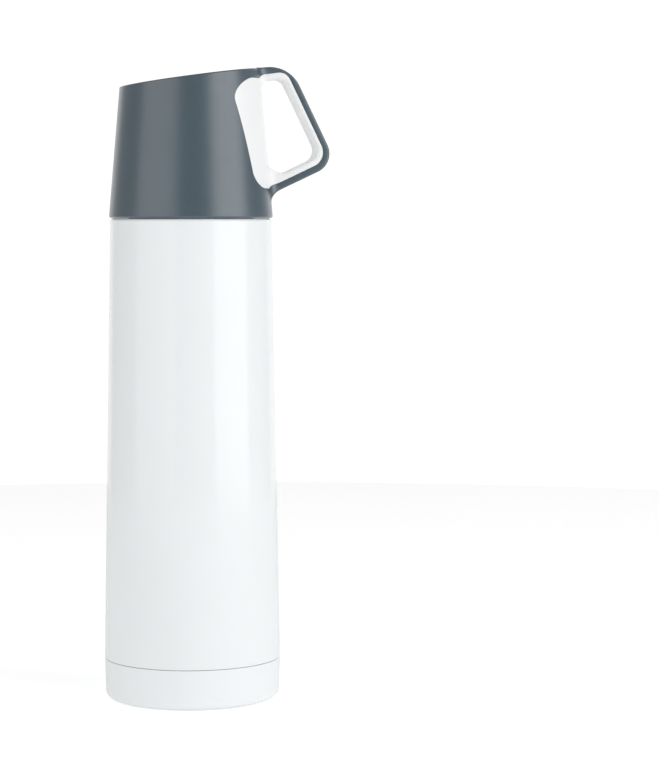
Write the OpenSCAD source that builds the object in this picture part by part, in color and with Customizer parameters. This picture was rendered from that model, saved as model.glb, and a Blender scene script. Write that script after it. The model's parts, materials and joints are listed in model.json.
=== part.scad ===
// Vacuum flask with a screw-on drinking cup, a threaded stopper and a push-to-pour valve.
// Origin: centre of the pad it stands on. +Z is up the flask, +X points along the cup's handle.

/* [Body] */
// Radius of the steel body at its shoulder
body_r = 32.1; // [30:0.1:42]
// How much wider the body is at the base cap than at its shoulder
body_flare = 3.1; // [0:0.1:5]
// Height of the shoulder above the table
body_h = 191.7; // [140:0.1:260]
// Wall of the steel outer shell
shell_t = 0.6; // [0.4:0.1:1]
// Radius of the rounded shoulder edge
shoulder_round = 1.5; // [0.8:0.1:2.5]

/* [Base] */
// Height of the seam between the base cap and the body
base_h = 16.2; // [12:0.1:24]
// Wall of the base cap at its foot
base_wall = 1.3; // [1:0.1:2]
// Floor of the base cap
base_floor = 1.5; // [1:0.1:2.5]
// How much the base cap narrows towards its foot
base_draft = 0.5; // [0.1:0.1:1.5]
// Radius of the base cap's lower corner
base_corner = 2.6; // [1.5:0.1:4]
// Open seam between the base cap and the body
seam_gap = 0.35; // [0.2:0.05:0.8]
// Thickness of the non-slip pad
pad_t = 1; // [0.6:0.1:2]
// How far the pad stands below the base cap
pad_proud = 0.4; // [0.2:0.1:0.6]
// Distance from the pad's edge to the base cap's side
pad_margin = 5; // [4:0.1:10]

/* [Vessel] */
// Wall of the steel inner vessel
vessel_t = 0.5; // [0.4:0.1:1]
// Vacuum gap between the vessel and the outer shell
vacuum_gap = 3; // [2:0.1:5]
// Vacuum gap between the two walls of the neck
neck_gap = 2.3; // [1.5:0.1:3]
// Vacuum gap under the shoulder
shoulder_gap = 2.4; // [1.5:0.1:4]
// Height of the vessel's floor above the table
vessel_floor_z = 10; // [9:0.1:16]
// Radius of the vessel's lower corner, outside
vessel_corner = 9; // [5:0.5:14]
// Thickness of the reflecting foil round the vessel
foil_t = 0.2; // [0.1:0.05:0.4]
// Height of the dome in the shell's floor
dome_h = 3; // [2:0.1:4]
// Radius of the getter pill
getter_r = 5; // [3:0.1:6]
// Height of the getter pill
getter_h = 1.4; // [1:0.1:1.8]

/* [Neck] */
// How far the neck stands in from the body's shoulder radius
neck_step = 7.5; // [7:0.1:9]
// Height of the neck above the shoulder
neck_h = 24.3; // [22:0.1:28]
// Thickness of the rolled lip
lip_t = 0.8; // [0.5:0.1:1.2]
// Width of the ledge in the mouth that the stopper's gasket lies on
ledge_w = 3.6; // [3:0.1:4.5]
// Height of the mouth's bore above that ledge
mouth_depth = 18.7; // [18:0.1:20]

/* [Threads] */
// Radial room between a thread's crest and the wall it faces
thread_clear = 0.4; // [0.3:0.05:0.6]
// Distance between neighbouring ridges
pitch = 4; // [3.6:0.1:5]
// Number of ridges of the cup's thread
cup_starts = 3; // [2:1:3]
// Height of the cup thread's ridges
cup_ridge = 1.3; // [1:0.1:1.5]
// Number of ridges of the stopper's thread
stopper_starts = 2; // [1:1:2]
// Height of the stopper thread's ridges
stopper_ridge = 1.1; // [0.8:0.1:1.3]

/* [Cup] */
// Height of the cup at its axis, from its rim to the slanted top
cup_h = 55.35; // [50:0.05:70]
// How far the cup's rim stands out past the body's shoulder
cup_overhang = 0.45; // [0:0.05:1]
// Gap between the shoulder and the cup's rim
cup_gap = 0.35; // [0.3:0.05:1]
// Draft of the cup's side, in degrees
cup_draft = 4.94; // [2:0.1:6]
// Slope of the cup's top, in degrees
top_slope = 7.8; // [0:0.1:10]
// Wall of the cup's outer shell
cup_t = 1.8; // [1.5:0.1:2.2]
// Thickness of the outer shell's top
cup_top_t = 2; // [1.5:0.1:3]
// Wall of the cup's inner liner
liner_t = 1.5; // [1.2:0.1:2]
// Radius of the cup's rim edge
rim_round = 0.9; // [0.4:0.1:1.2]

/* [Handle] */
// How far the handle's corner stands out from the cup's rim radius
handle_out = 24.9; // [22:0.1:32]
// Height of that corner above the cup's rim
handle_rise = 21.6; // [18:0.1:26]
// Lean of the handle's grip from upright, in degrees
grip_lean = 25.8; // [15:0.1:28]
// Rise of the handle's lower leg, in degrees
leg_rise = 25.3; // [15:0.1:30]
// Width of the handle
band_w = 15; // [12:0.1:18]
// Thickness of the handle's outer band at the grip
band_t = 2.45; // [2:0.05:3.5]
// Thickness of the handle's outer band at its legs
leg_t = 2.75; // [2:0.05:3.5]
// Thickness of the light lining at the grip
lining_t = 1.5; // [1.2:0.05:2.5]
// Thickness of the light lining at the legs
leg_lining_t = 2.4; // [1.5:0.05:3]
// Radius of the fillets where the handle meets the cup
root_round = 4; // [2:0.1:5]
// Height of the lower edge of the light panel above the cup's rim
window_low = 11.4; // [10:0.1:14]
// Distance from the upper edge of the light panel to the cup's top at the axis
window_top = 0.6; // [0.4:0.1:3]
// Half width of the light panel at its lower edge
window_half_low = 21.6; // [18:0.1:24]
// Half width of the light panel at its upper edge
window_half_top = 25.6; // [20:0.1:26]

/* [Stopper] */
// Wall between the stopper's thread and its insulation
skirt_wall = 1.8; // [1.4:0.1:2.2]
// Radius of the pouring chamber
chamber_r = 12.4; // [12:0.1:13]
// Wall of the pouring chamber
chamber_wall = 1.4; // [1:0.1:1.6]
// Thickness of the stopper's floor
floor_t = 3; // [2.5:0.1:4]
// Thickness of the stopper's flange
flange_t = 3; // [2:0.1:4]
// Height of the stopper's grip ring
grip_h = 5; // [4:0.1:6]
// Number of finger flutes round the grip ring
flutes = 30; // [12:1:40]
// Height of the stopper's gasket
gasket_t = 2.4; // [1.8:0.1:2.6]
// Gap left round each seal, which the soft seal closes in use
seal_gap = 0.3; // [0.2:0.05:0.4]

/* [Pour valve] */
// Radius of the pour button
button_r = 9; // [8.5:0.1:9.2]
// How far the button stands above the grip ring
button_proud = 3; // [2.6:0.1:4]
// Travel of the button
button_travel = 2.5; // [1:0.1:2.5]
// Radius of the valve stem
stem_r = 2.4; // [2:0.1:2.6]
// Running clearance of the stem in its guide
stem_clear = 0.06; // [0.02:0.01:0.1]
// Radius of the flow hole in the stopper's floor
flow_r = 9.4; // [8.8:0.1:9.6]
// Radius of the valve plate
valve_r = 11.4; // [11:0.1:12]
// Thickness of the valve plate
valve_t = 2; // [1.5:0.1:3]
// Wire diameter of the spring
wire_d = 0.8; // [0.6:0.1:1]
// Mean radius of the spring
spring_r = 4.7; // [4.4:0.1:5]
// Number of turns of the spring
spring_turns = 7; // [5:1:9]

/* [Hidden] */
$fn = 128;
eps = 0.05;
big = 200;

GREY = [0.42, 0.47, 0.50];
WHITE = [0.95, 0.96, 0.96];
STEEL = [0.72, 0.73, 0.74];
DARK = [0.2, 0.21, 0.22];
SEAL = [0.86, 0.86, 0.83];

// Body radii and levels
body_low_r = body_r + body_flare;
step_z = base_h + seam_gap;
base_bore_r = body_low_r - base_draft - base_wall;
skirt_fit = 0.1;
skirt_r = base_bore_r - skirt_fit;
base_under_z = pad_proud;
shell_foot_gap = 0.6;
shell_low_z = base_under_z + base_floor + shell_foot_gap;
floor_inset = 0.4;
dish_z = shell_low_z + floor_inset;
plug_depth = 1.2;
plug_r = 3.4;
neck_r = body_r - neck_step;
neck_top_z = body_h + neck_h;
function body_radius(z) = body_r + body_flare * (body_h - z) / (body_h - step_z);

// Vessel radii and levels
mouth_r = neck_r - shell_t - neck_gap - vessel_t;
throat_r = mouth_r - ledge_w;
ledge_z = neck_top_z - mouth_depth;
vessel_top_z = body_h - shell_t - shoulder_gap;
function vessel_radius(z) = body_radius(z) - shell_t - vacuum_gap;

// Cup levels
rim_z = body_h + cup_gap;
cup_top_z = rim_z + cup_h;
cup_rim_r = body_r + cup_overhang;
function cup_radius(z) = cup_rim_r - (z - rim_z) * tan(cup_draft);

// Threads: a ridge's root is sunk into its wall, and its flanks narrow to the crest
ridge_sink = 0.3;
ridge_root_w = pitch * 0.48;
ridge_crest_w = pitch * 0.25;
cup_lead = pitch * cup_starts;
cup_bore_r = neck_r + cup_ridge + thread_clear;
cup_thread_rise = 4;
cup_thread_z = body_h + cup_thread_rise;
cup_gasket_t = 2.5;
cup_gasket_in_r = cup_bore_r + 0.2;
gasket_seat_w = 1.3;
cup_gasket_out_r = cup_rim_r - cup_t - gasket_seat_w;
cup_male_turns = 0.6;
cup_female_turns = 0.5;
stopper_r = mouth_r - stopper_ridge - thread_clear;
stopper_turns = 0.75;
mouth_thread_rise = 4.2;
mouth_thread_z = ledge_z + mouth_thread_rise;
stopper_thread_z = mouth_thread_z + pitch / 2;

// Stopper levels
flange_z = neck_top_z + seal_gap;
flange_top_z = flange_z + flange_t;
grip_top_z = flange_top_z + grip_h;
flange_inset = 0.9;
flange_r = neck_r - flange_inset;
nose_room = 1.6;
nose_r = throat_r - nose_room;
gasket_z = ledge_z + seal_gap;
skirt_z = gasket_z + gasket_t + seal_gap;
floor_drop = 3.3;
floor_z = ledge_z - floor_drop;
floor_top_z = floor_z + floor_t;
foam_in_r = chamber_r + chamber_wall;
foam_out_r = stopper_r - skirt_wall;
foam_floor = 1.5;
foam_z = skirt_z + foam_floor;
foam_clear = 0.2;
foam_top_gap = 2;
web_w = 2.6;
flute_r = 1.1;
flute_out = 0.45;
slot_half_angle = 26;
spout_r = 2;

// Button and valve levels
button_clear = 0.3;
button_bore_r = button_r + button_clear;
button_top_z = grip_top_z + button_proud;
button_skirt = 2.3;
button_low_z = flange_top_z - button_skirt;
button_flange_w = 1.1;
button_flange_r = button_r + button_flange_w;
dish_r = 5;
dish_depth = 0.5;
button_wall = 1.2;
button_roof = 1.6;
boss_low_z = button_low_z + 1;
wiper_depth = 0.6;
wiper_h = 1;
wiper_z = flange_top_z + button_travel + 0.4;
boss_r = 3.5;
hub_r = spring_r + wire_d / 2 + 0.6;
washer_t = 0.5;
washer_z = floor_top_z;
stem_low_z = floor_z - 5.4;
stem_top_z = button_top_z - 4;
seal_t = 0.8;
valve_top_z = floor_z - seal_gap - seal_t;
clip_t = 0.6;
spring_low_z = washer_z + washer_t;
spring_high_z = button_top_z - button_roof;

// Handle outline in the XZ plane: three lines that meet at two corners
top_dir = [cos(top_slope), sin(top_slope)];
grip_dir = [sin(grip_lean), -cos(grip_lean)];
leg_dir = [cos(leg_rise), sin(leg_rise)];
low_corner = [cup_rim_r + handle_out, rim_z + handle_rise];
root_depth = 8;
root_x = cup_radius(cup_top_z) - root_depth;

// Corner radii at the handle's top and low corners: outside, inside the band, and in the hole
outer_rounds = [13, 8];
inner_rounds = [4.6, 6];
hole_rounds = [4.2, 5];
// Corner radii of the hole at the cup's wall, high and low
hole_wall_rounds = [4.2, 6];
// How far the hole's inner side lies under the cup's surface
hole_sink = 1;
// Corner radii of the light panel, low and high
window_rounds = [7, 9];

function unit(v) = v / norm(v);
function left_of(d) = [-d.y, d.x];
function cross2(a, b) = a.x * b.y - a.y * b.x;

// Where the line through p along a meets the line through q along b
function meet(p, a, q, b) = p + a * cross2(q - p, b) / cross2(a, b);

// One corner of an outline, turned into an arc of radius r
function corner(a, p, b, r, n) =
    r <= 0 ? [p] :
    let (
        u = unit(a - p),
        v = unit(b - p),
        half = acos(u * v) / 2,
        c = p + unit(u + v) * r / sin(half),
        s = p + u * r / tan(half) - c,
        e = p + v * r / tan(half) - c,
        a0 = atan2(s.y, s.x),
        turn = (atan2(e.y, e.x) - a0 + 540) % 360 - 180
    )
    [for (i = [0 : n]) c + r * [cos(a0 + turn * i / n), sin(a0 + turn * i / n)]];

// An outline from corner points [x, y, radius]
function outline(c, n = 8) =
    let (m = len(c))
    [for (i = [0 : m - 1])
        each corner(
            [c[(i + m - 1) % m].x, c[(i + m - 1) % m].y],
            [c[i].x, c[i].y],
            [c[(i + 1) % m].x, c[(i + 1) % m].y],
            c[i].z, n)];

// The handle's loop, set in from its outer lines by t at the grip and t_leg at the legs.
// rounds holds its corner radii, top and low.
function loop_points(t, t_leg, rounds = [0, 0]) =
    let (
        top_p = [0, cup_top_z] - left_of(top_dir) * t_leg,
        grip_p = low_corner + left_of(grip_dir) * -t,
        leg_p = low_corner + left_of(leg_dir) * t_leg,
        high = meet(top_p, top_dir, grip_p, grip_dir),
        low = meet(leg_p, leg_dir, grip_p, grip_dir),
        a = meet(top_p, top_dir, [root_x, 0], [0, 1]),
        b = meet(leg_p, leg_dir, [root_x, 0], [0, 1])
    )
    [[a.x, a.y, 0], [b.x, b.y, 0], [low.x, low.y, rounds[1]], [high.x, high.y, rounds[0]]];

// The finger hole in the loop: its inner side follows the cup's wall
function hole_points(t, t_leg) =
    let (
        p = loop_points(t, t_leg),
        wall_p = [cup_radius(rim_z) - hole_sink, rim_z],
        wall_dir = [-sin(cup_draft), cos(cup_draft)],
        a = meet([p[0].x, p[0].y], top_dir, wall_p, wall_dir),
        b = meet([p[1].x, p[1].y], leg_dir, wall_p, wall_dir)
    )
    [
        [a.x, a.y, hole_wall_rounds[0]],
        [b.x, b.y, hole_wall_rounds[1]],
        [p[2].x, p[2].y, hole_rounds[1]],
        [p[3].x, p[3].y, hole_rounds[0]]
    ];

module turned(points) {
    rotate_extrude() polygon(points);
}

module ring(r_in, r_out, z0, z1) {
    turned([[r_in, z0], [r_out, z0], [r_out, z1], [r_in, z1]]);
}

// A solid drawn in the XZ plane, w wide along Y and centred on it
module upright(points, w) {
    translate([0, w / 2, 0]) rotate([90, 0, 0]) linear_extrude(w) polygon(points);
}

// A helical ridge of a thread, with run-outs at both ends
module ridge(r_root, r_crest, lead, turns, z0, a0) {
    n = round(48 * turns);
    fade = 4;
    function height(i) = max(0.12, min(1, i / fade, (n - i) / fade));
    function at(i, r, dz) =
        let (a = a0 + 360 * turns * i / n)
        [r * cos(a), r * sin(a), z0 + lead * turns * i / n + dz];
    points = [for (i = [0 : n])
        let (rc = r_root + (r_crest - r_root) * height(i))
        each [
            at(i, r_root, -ridge_root_w / 2),
            at(i, rc, -ridge_crest_w / 2),
            at(i, rc, ridge_crest_w / 2),
            at(i, r_root, ridge_root_w / 2)
        ]];
    flip = r_crest < r_root;
    sides = [for (i = [0 : n - 1], k = [0 : 3])
        let (p = 4 * i + k, q = 4 * i + (k + 1) % 4)
        each [[p, q, q + 4], [p, q + 4, p + 4]]];
    ends = [[3, 2, 1], [3, 1, 0], [4 * n, 4 * n + 1, 4 * n + 2], [4 * n, 4 * n + 2, 4 * n + 3]];
    faces = concat(sides, ends);
    polyhedron(points, flip ? [for (f = faces) [f[2], f[1], f[0]]] : faces);
}

module thread(r_root, r_crest, starts, turns, z0) {
    for (i = [0 : starts - 1])
        ridge(r_root, r_crest, pitch * starts, turns, z0, 360 * i / starts);
}

// ---- Body ----

module outer_shell() {
    t = shell_t;
    color(WHITE) union() {
        turned(outline([
            [skirt_r, shell_low_z, 0],
            [skirt_r, step_z, 0],
            [body_low_r, step_z, 0.3],
            [body_r, body_h, shoulder_round],
            [neck_r, body_h, 0],
            [neck_r, neck_top_z - lip_t, 0],
            [neck_r - t, neck_top_z - lip_t, 0],
            [neck_r - t, body_h - t, 0],
            [body_r - t, body_h - t, shoulder_round - t],
            [body_low_r - t, step_z + t, 0],
            [skirt_r - t, step_z + t, 0],
            [skirt_r - t, shell_low_z, 0]
        ]));
        thread(neck_r - ridge_sink, neck_r + cup_ridge, cup_starts, cup_male_turns, cup_thread_z);
    }
}

module inner_vessel() {
    t = vessel_t;
    low_r = vessel_radius(vessel_floor_z);
    top_r = vessel_radius(vessel_top_z);
    color(STEEL) union() {
        turned(outline([
            [0, vessel_floor_z, 0],
            [low_r, vessel_floor_z, vessel_corner],
            [top_r, vessel_top_z, 7],
            [throat_r + t, vessel_top_z, 1],
            [throat_r + t, ledge_z - t, 0],
            [mouth_r + t, ledge_z - t, 0.6],
            [mouth_r + t, neck_top_z - lip_t, 0],
            [neck_r, neck_top_z - lip_t, 0],
            [neck_r, neck_top_z, 0.35],
            [mouth_r, neck_top_z, 0.35],
            [mouth_r, ledge_z, 0.1],
            [throat_r, ledge_z, 0.3],
            [throat_r, vessel_top_z - t, 1.5],
            [top_r - t, vessel_top_z - t, 6.5],
            [low_r - t, vessel_floor_z + t, vessel_corner - t],
            [0, vessel_floor_z + t, 0]
        ]));
        thread(mouth_r + ridge_sink, mouth_r - stopper_ridge, stopper_starts, stopper_turns,
            mouth_thread_z);
    }
}

// Dished disc that closes the bottom of the outer shell
module shell_floor() {
    t = shell_t;
    r = skirt_r - shell_t;
    z = dish_z;
    color(STEEL) turned(outline([
        [0, z + dome_h, 0],
        [r * 0.45, z + dome_h, 6],
        [r * 0.8, z, 3],
        [r, z, 0],
        [r, z + t, 0],
        [r * 0.8, z + t, 3],
        [r * 0.45, z + dome_h + t, 6],
        [0, z + dome_h + t, 0]
    ]));
}

// Bead that closes the port the air was drawn out through
module vacuum_plug() {
    z = dish_z + dome_h;
    color(DARK) turned(outline([[0, z - plug_depth, 0], [plug_r - 0.4, z - plug_depth, 0.8],
        [plug_r, z, 0], [0, z, 0]]));
}

module getter() {
    z = dish_z + dome_h + shell_t;
    color(DARK) turned(outline([[0, z, 0], [getter_r, z, 0], [getter_r, z + getter_h, 0.5],
        [0, z + getter_h, 0]]));
}

module heat_foil() {
    z0 = vessel_floor_z + vessel_corner + 2;
    z1 = vessel_top_z - 9;
    color([0.8, 0.62, 0.5]) turned([
        [vessel_radius(z0), z0], [vessel_radius(z0) + foil_t, z0],
        [vessel_radius(z1) + foil_t, z1], [vessel_radius(z1), z1]
    ]);
}

module base_cap() {
    foot_r = body_low_r - base_draft;
    recess_r = foot_r - pad_margin + eps;
    recess_z = base_under_z + pad_t - pad_proud;
    color(WHITE) turned(outline([
        [0, recess_z, 0],
        [recess_r, recess_z, 0],
        [recess_r, base_under_z, 0],
        [foot_r, base_under_z, base_corner],
        [body_low_r, base_h, 0.3],
        [base_bore_r, base_h, 0.2],
        [base_bore_r, base_under_z + base_floor, 1],
        [0, base_under_z + base_floor, 0]
    ]));
}

module base_pad() {
    r = body_low_r - base_draft - pad_margin;
    color(DARK) turned(outline([[0, 0, 0], [r, 0, 0.2], [r, pad_t, 0], [0, pad_t, 0]]));
}

// ---- Cup ----

// The cup's cone, set in by t at its side and by top at its slanted top
module cup_cone(t, top, z0) {
    high_z = cup_top_z + 12;
    intersection() {
        turned([[0, z0], [cup_radius(z0) - t, z0], [cup_radius(high_z) - t, high_z], [0, high_z]]);
        translate([0, 0, cup_top_z]) rotate([0, -top_slope, 0])
            translate([-big / 2, -big / 2, -top - big]) cube(big);
    }
}

// Outline of the light panel, seen along the handle
module window_prism(g) {
    low = rim_z + window_low + g;
    high = cup_top_z - window_top - g;
    pts = outline([
        [-window_half_low + g, low, window_rounds[0]],
        [window_half_low - g, low, window_rounds[0]],
        [window_half_top - g, high, window_rounds[1]],
        [-window_half_top + g, high, window_rounds[1]]
    ]);
    translate([8, 0, 0]) rotate([90, 0, 90]) linear_extrude(60) polygon(pts);
}

// Plan of a handle leg: the band's sides run into the cup's wall in concave arcs
function flare(r) =
    let (
        f = root_round,
        h = band_w / 2,
        c = [sqrt((r + f) * (r + f) - (h + f) * (h + f)), h + f],
        a1 = atan2(-c.y, -c.x),
        side = [for (i = [0 : 8]) let (a = -90 + (a1 + 90) * i / 8) c + f * [cos(a), sin(a)]]
    )
    concat(side, [[root_x, side[8].y], [root_x, -side[8].y]],
        [for (i = [8 : -1 : 0]) [side[i].x, -side[i].y]]);

// The handle's outer band with its roots
module band() {
    outer = outline(loop_points(0, 0, outer_rounds), 12);
    inner = outline(loop_points(band_t, leg_t, inner_rounds), 12);
    root_z = loop_points(0, 0)[1].y;
    leg_wall_z = meet(low_corner, leg_dir, [cup_rim_r, rim_z], [0, 1]).y;
    module loop(w) {
        difference() {
            upright(outer, w);
            upright(inner, w + 2);
        }
    }
    union() {
        loop(band_w);
        intersection() {
            loop(3 * band_w);
            translate([0, 0, cup_top_z - 8]) linear_extrude(20) polygon(flare(cup_radius(cup_top_z)));
        }
        intersection() {
            loop(3 * band_w);
            translate([0, 0, root_z - 2]) linear_extrude(16) polygon(flare(cup_radius(leg_wall_z)));
        }
        lower_web(leg_wall_z);
    }
}

// Concave web under the lower leg
module lower_web(z) {
    r = cup_radius(z);
    f = root_round;
    wall_p = [r - 1, z];
    wall_dir = [-sin(cup_draft), cos(cup_draft)];
    p = meet(low_corner, leg_dir, wall_p, wall_dir);
    down = p - wall_dir * 9;
    out = p + leg_dir * 9;
    arc = corner(down, p, out, f + 1.5, 8);
    upright(concat([[p.x - 1, p.y + 1]], arc), band_w - 0.02);
}

module cup_shell() {
    color(GREY) difference() {
        union() {
            difference() {
                cup_body();
                window_prism(0);
            }
            difference() {
                band();
                cup_cone(1, 0.6, rim_z - 1);
            }
        }
        intersection() {
            window_prism(0);
            cup_cone(-0.02, 0, rim_z);
        }
        lining();
    }
}

// The grey cup without its handle and panel
module cup_body() {
    difference() {
        intersection() {
            cup_cone(0, 0, rim_z);
            turned(outline([
                [0, rim_z, 0], [cup_rim_r, rim_z, rim_round],
                [cup_rim_r, rim_z + big, 0], [0, rim_z + big, 0]
            ]));
        }
        cup_cone(cup_t, cup_top_t, rim_z - 1);
    }
}

// The light lining of the handle, sunk a little into the cup's wall
module lining() {
    difference() {
        upright(outline(loop_points(band_t + eps, leg_t + eps, inner_rounds), 12), band_w);
        upright(outline(hole_points(band_t + lining_t, leg_t + leg_lining_t), 12), band_w + 2);
        cup_cone(0.5, 0, rim_z - 1);
    }
}

module handle_inlay() {
    color(WHITE) union() {
        difference() {
            intersection() {
                window_prism(eps);
                cup_cone(0, cup_top_t / 2, rim_z);
            }
            cup_cone(cup_t, 0, rim_z - 1);
        }
        lining();
    }
}

// The white inner cup, with the thread that holds it to the neck
module cup_liner() {
    foot_z = rim_z + 0.6;
    gasket_top_z = rim_z + cup_gasket_t + seal_gap;
    thread_top_z = cup_thread_z + cup_lead * cup_male_turns + 4;
    wide_z = thread_top_z + 3;
    color(WHITE) union() {
        difference() {
            cup_cone(cup_t, cup_top_t, foot_z);
            difference() {
                cup_cone(cup_t + liner_t, cup_top_t + liner_t, foot_z - 1);
                translate([0, 0, foot_z - 2]) cylinder(h = wide_z - foot_z + 2, r = big / 4);
            }
            turned([
                [0, foot_z - 1], [cup_bore_r, foot_z - 1], [cup_bore_r, thread_top_z],
                [cup_radius(wide_z) - cup_t - liner_t, wide_z], [0, wide_z]
            ]);
            ring(0, cup_gasket_out_r + seal_gap, foot_z - 1, gasket_top_z);
        }
        thread(cup_bore_r + ridge_sink, cup_bore_r - cup_ridge, cup_starts, cup_female_turns,
            cup_thread_z + pitch / 2);
    }
}

// Soft ring in the cup's rim that closes on the shoulder
module cup_gasket() {
    color(SEAL) turned(outline([
        [cup_gasket_in_r, rim_z - 0.05, 0.4],
        [cup_gasket_out_r, rim_z - 0.05, 0.4],
        [cup_gasket_out_r, rim_z + cup_gasket_t, 0.2],
        [cup_gasket_in_r, rim_z + cup_gasket_t, 0.2]
    ], 4));
}

// ---- Stopper ----

module stopper_body() {
    color(GREY) union() {
        difference() {
            turned(outline([
                [0, floor_z, 0],
                [nose_r, floor_z, 0.6],
                [nose_r, skirt_z, 0],
                [stopper_r, skirt_z, 0.4],
                [stopper_r, flange_z, 0],
                [flange_r, flange_z, 0.5],
                [flange_r, flange_top_z, 0],
                [0, flange_top_z, 0]
            ]));
            ring(0, chamber_r, floor_top_z, flange_top_z + 1);
            ring(foam_in_r, foam_out_r, foam_z, flange_top_z + 1);
            difference() {
                translate([0, 0, floor_z - 1]) cylinder(h = floor_t + 2, r = flow_r);
                translate([0, 0, floor_z - 1]) cylinder(h = floor_t + 2, r = hub_r);
                for (i = [0 : 2])
                    rotate(120 * i) translate([0, -web_w / 2, floor_z - 1])
                        cube([flow_r + 1, web_w, floor_t + 2]);
            }
            translate([0, 0, floor_z - 1]) cylinder(h = floor_t + 2, r = stem_r + stem_clear);
        }
        thread(stopper_r - ridge_sink, stopper_r + stopper_ridge, stopper_starts, stopper_turns,
            stopper_thread_z);
    }
}

module stopper_foam() {
    color([0.93, 0.92, 0.88])
        ring(foam_in_r + foam_clear, foam_out_r - foam_clear, foam_z, flange_top_z - foam_top_gap);
}

// Grip ring that closes the stopper's top, with pouring slots and two spouts
module grip_ring() {
    slot_in_r = button_flange_r + 0.3;
    color(GREY) difference() {
        union() {
            turned(outline([
                [button_bore_r, flange_top_z, 0],
                [flange_r, flange_top_z, 0],
                [flange_r, grip_top_z, 1.2],
                [button_bore_r, grip_top_z, 0.5]
            ]));
            ring(foam_in_r + 0.1, foam_out_r - 0.1, flange_top_z - 1.8, flange_top_z);
        }
        for (i = [0 : 2])
            rotate(120 * i + 60) pour_slot(slot_in_r, chamber_r - 0.2);
        for (i = [0 : flutes - 1])
            rotate(360 * (i + 0.5) / flutes) translate([flange_r + flute_out, 0, flange_top_z - 1])
                cylinder(h = grip_h + 2, r = flute_r, $fn = 24);
    }
}

// One curved slot through the grip ring, widened into a channel along its top
module pour_slot(r0, r1) {
    arc = [for (i = [0 : 8]) let (a = slot_half_angle * (i / 4 - 1)) [cos(a), sin(a)]];
    points = concat([for (p = arc) r1 * p], [for (i = [8 : -1 : 0]) r0 * arc[i]]);
    translate([0, 0, flange_top_z - 1]) linear_extrude(grip_h + 2) polygon(points);
    translate([r0 + 0.5, 0, grip_top_z]) rotate([0, 90, 0])
        cylinder(h = flange_r, r = spout_r, $fn = 48);
}

// Ring that seals the stopper against the ledge in the mouth
module stopper_gasket() {
    in_r = nose_r + seal_gap;
    out_r = mouth_r - stopper_ridge - seal_gap - 0.1;
    color(SEAL) turned(outline([
        [in_r, gasket_z, 0.3],
        [out_r, gasket_z, 0.8],
        [out_r, gasket_z + gasket_t, 0.8],
        [in_r, gasket_z + gasket_t, 0.3]
    ], 4));
}

// ---- Pour valve ----

module pour_button() {
    color(WHITE) turned(outline([
        [stem_r, boss_low_z, 0],
        [boss_r, boss_low_z, 0.3],
        [boss_r, button_top_z - button_roof, 0],
        [button_r - button_wall, button_top_z - button_roof, 0.5],
        [button_r - button_wall, button_low_z, 0],
        [button_flange_r, button_low_z, 0.2],
        [button_flange_r, flange_top_z - seal_gap, 0],
        [button_r, flange_top_z - seal_gap, 0],
        [button_r, wiper_z, 0],
        [button_r - wiper_depth, wiper_z, 0],
        [button_r - wiper_depth, wiper_z + wiper_h, 0],
        [button_r, wiper_z + wiper_h, 0],
        [button_r, button_top_z, 1.2],
        [dish_r, button_top_z, 0.8],
        [dish_r - 0.6, button_top_z - dish_depth, 0.8],
        [0, button_top_z - dish_depth, 0],
        [0, stem_top_z, 0],
        [stem_r, stem_top_z, 0]
    ], 6));
}

// Soft wiper ring in the button's groove
module button_ring() {
    color(DARK) turned(outline([
        [button_r - wiper_depth, wiper_z, 0],
        [button_r + 0.2, wiper_z, 0.3],
        [button_r + 0.2, wiper_z + wiper_h, 0.3],
        [button_r - wiper_depth, wiper_z + wiper_h, 0]
    ], 4));
}

module valve_stem() {
    color(STEEL) turned(outline([
        [0, stem_low_z, 0],
        [stem_r, stem_low_z, 0.5],
        [stem_r, stem_top_z, 0],
        [0, stem_top_z, 0]
    ], 4));
}

module valve_plate() {
    z = valve_top_z - valve_t;
    color(GREY) turned(outline([
        [stem_r, z, 0],
        [valve_r - 2, z, 0.6],
        [valve_r, z + valve_t * 0.6, 0.4],
        [valve_r, valve_top_z, 0.2],
        [stem_r, valve_top_z, 0]
    ], 4));
}

module valve_seal() {
    color(SEAL) ring(flow_r - 0.6, valve_r - 0.3, valve_top_z, valve_top_z + seal_t);
}

// Snap ring under the valve plate
module valve_clip() {
    z = valve_top_z - valve_t - clip_t;
    color(STEEL) difference() {
        ring(stem_r, stem_r + 1.8, z, z + clip_t);
        translate([0, -1.4, z - 1]) cube([10, 2.8, clip_t + 2]);
    }
}

module spring_washer() {
    color(STEEL) ring(stem_r + 0.3, hub_r, washer_z, washer_z + washer_t);
}

// Coil spring: closed turns at both ends and open turns between them
module button_spring() {
    sides = 8;
    per_turn = 24;
    n = per_turn * spring_turns;
    r = wire_d / 2;
    low = spring_low_z + r;
    high = spring_high_z - r;
    function rise(t) = t < 1 ? t * wire_d :
        t > spring_turns - 1 ? high - low - (spring_turns - t) * wire_d :
        wire_d + (high - low - 2 * wire_d) * (t - 1) / (spring_turns - 2);
    points = [for (i = [0 : n], k = [0 : sides - 1])
        let (a = 360 * i / per_turn, b = 360 * k / sides, q = spring_r + r * cos(b))
        [q * cos(a), q * sin(a), low + rise(i / per_turn) + r * sin(b)]];
    faces = concat(
        [for (i = [0 : n - 1], k = [0 : sides - 1])
            let (p = i * sides + k, q = i * sides + (k + 1) % sides)
            each [[p, q, q + sides], [p, q + sides, p + sides]]],
        [[for (k = [sides - 1 : -1 : 0]) k]],
        [[for (k = [0 : sides - 1]) n * sides + k]]);
    color(STEEL) polyhedron(points, faces);
}

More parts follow.
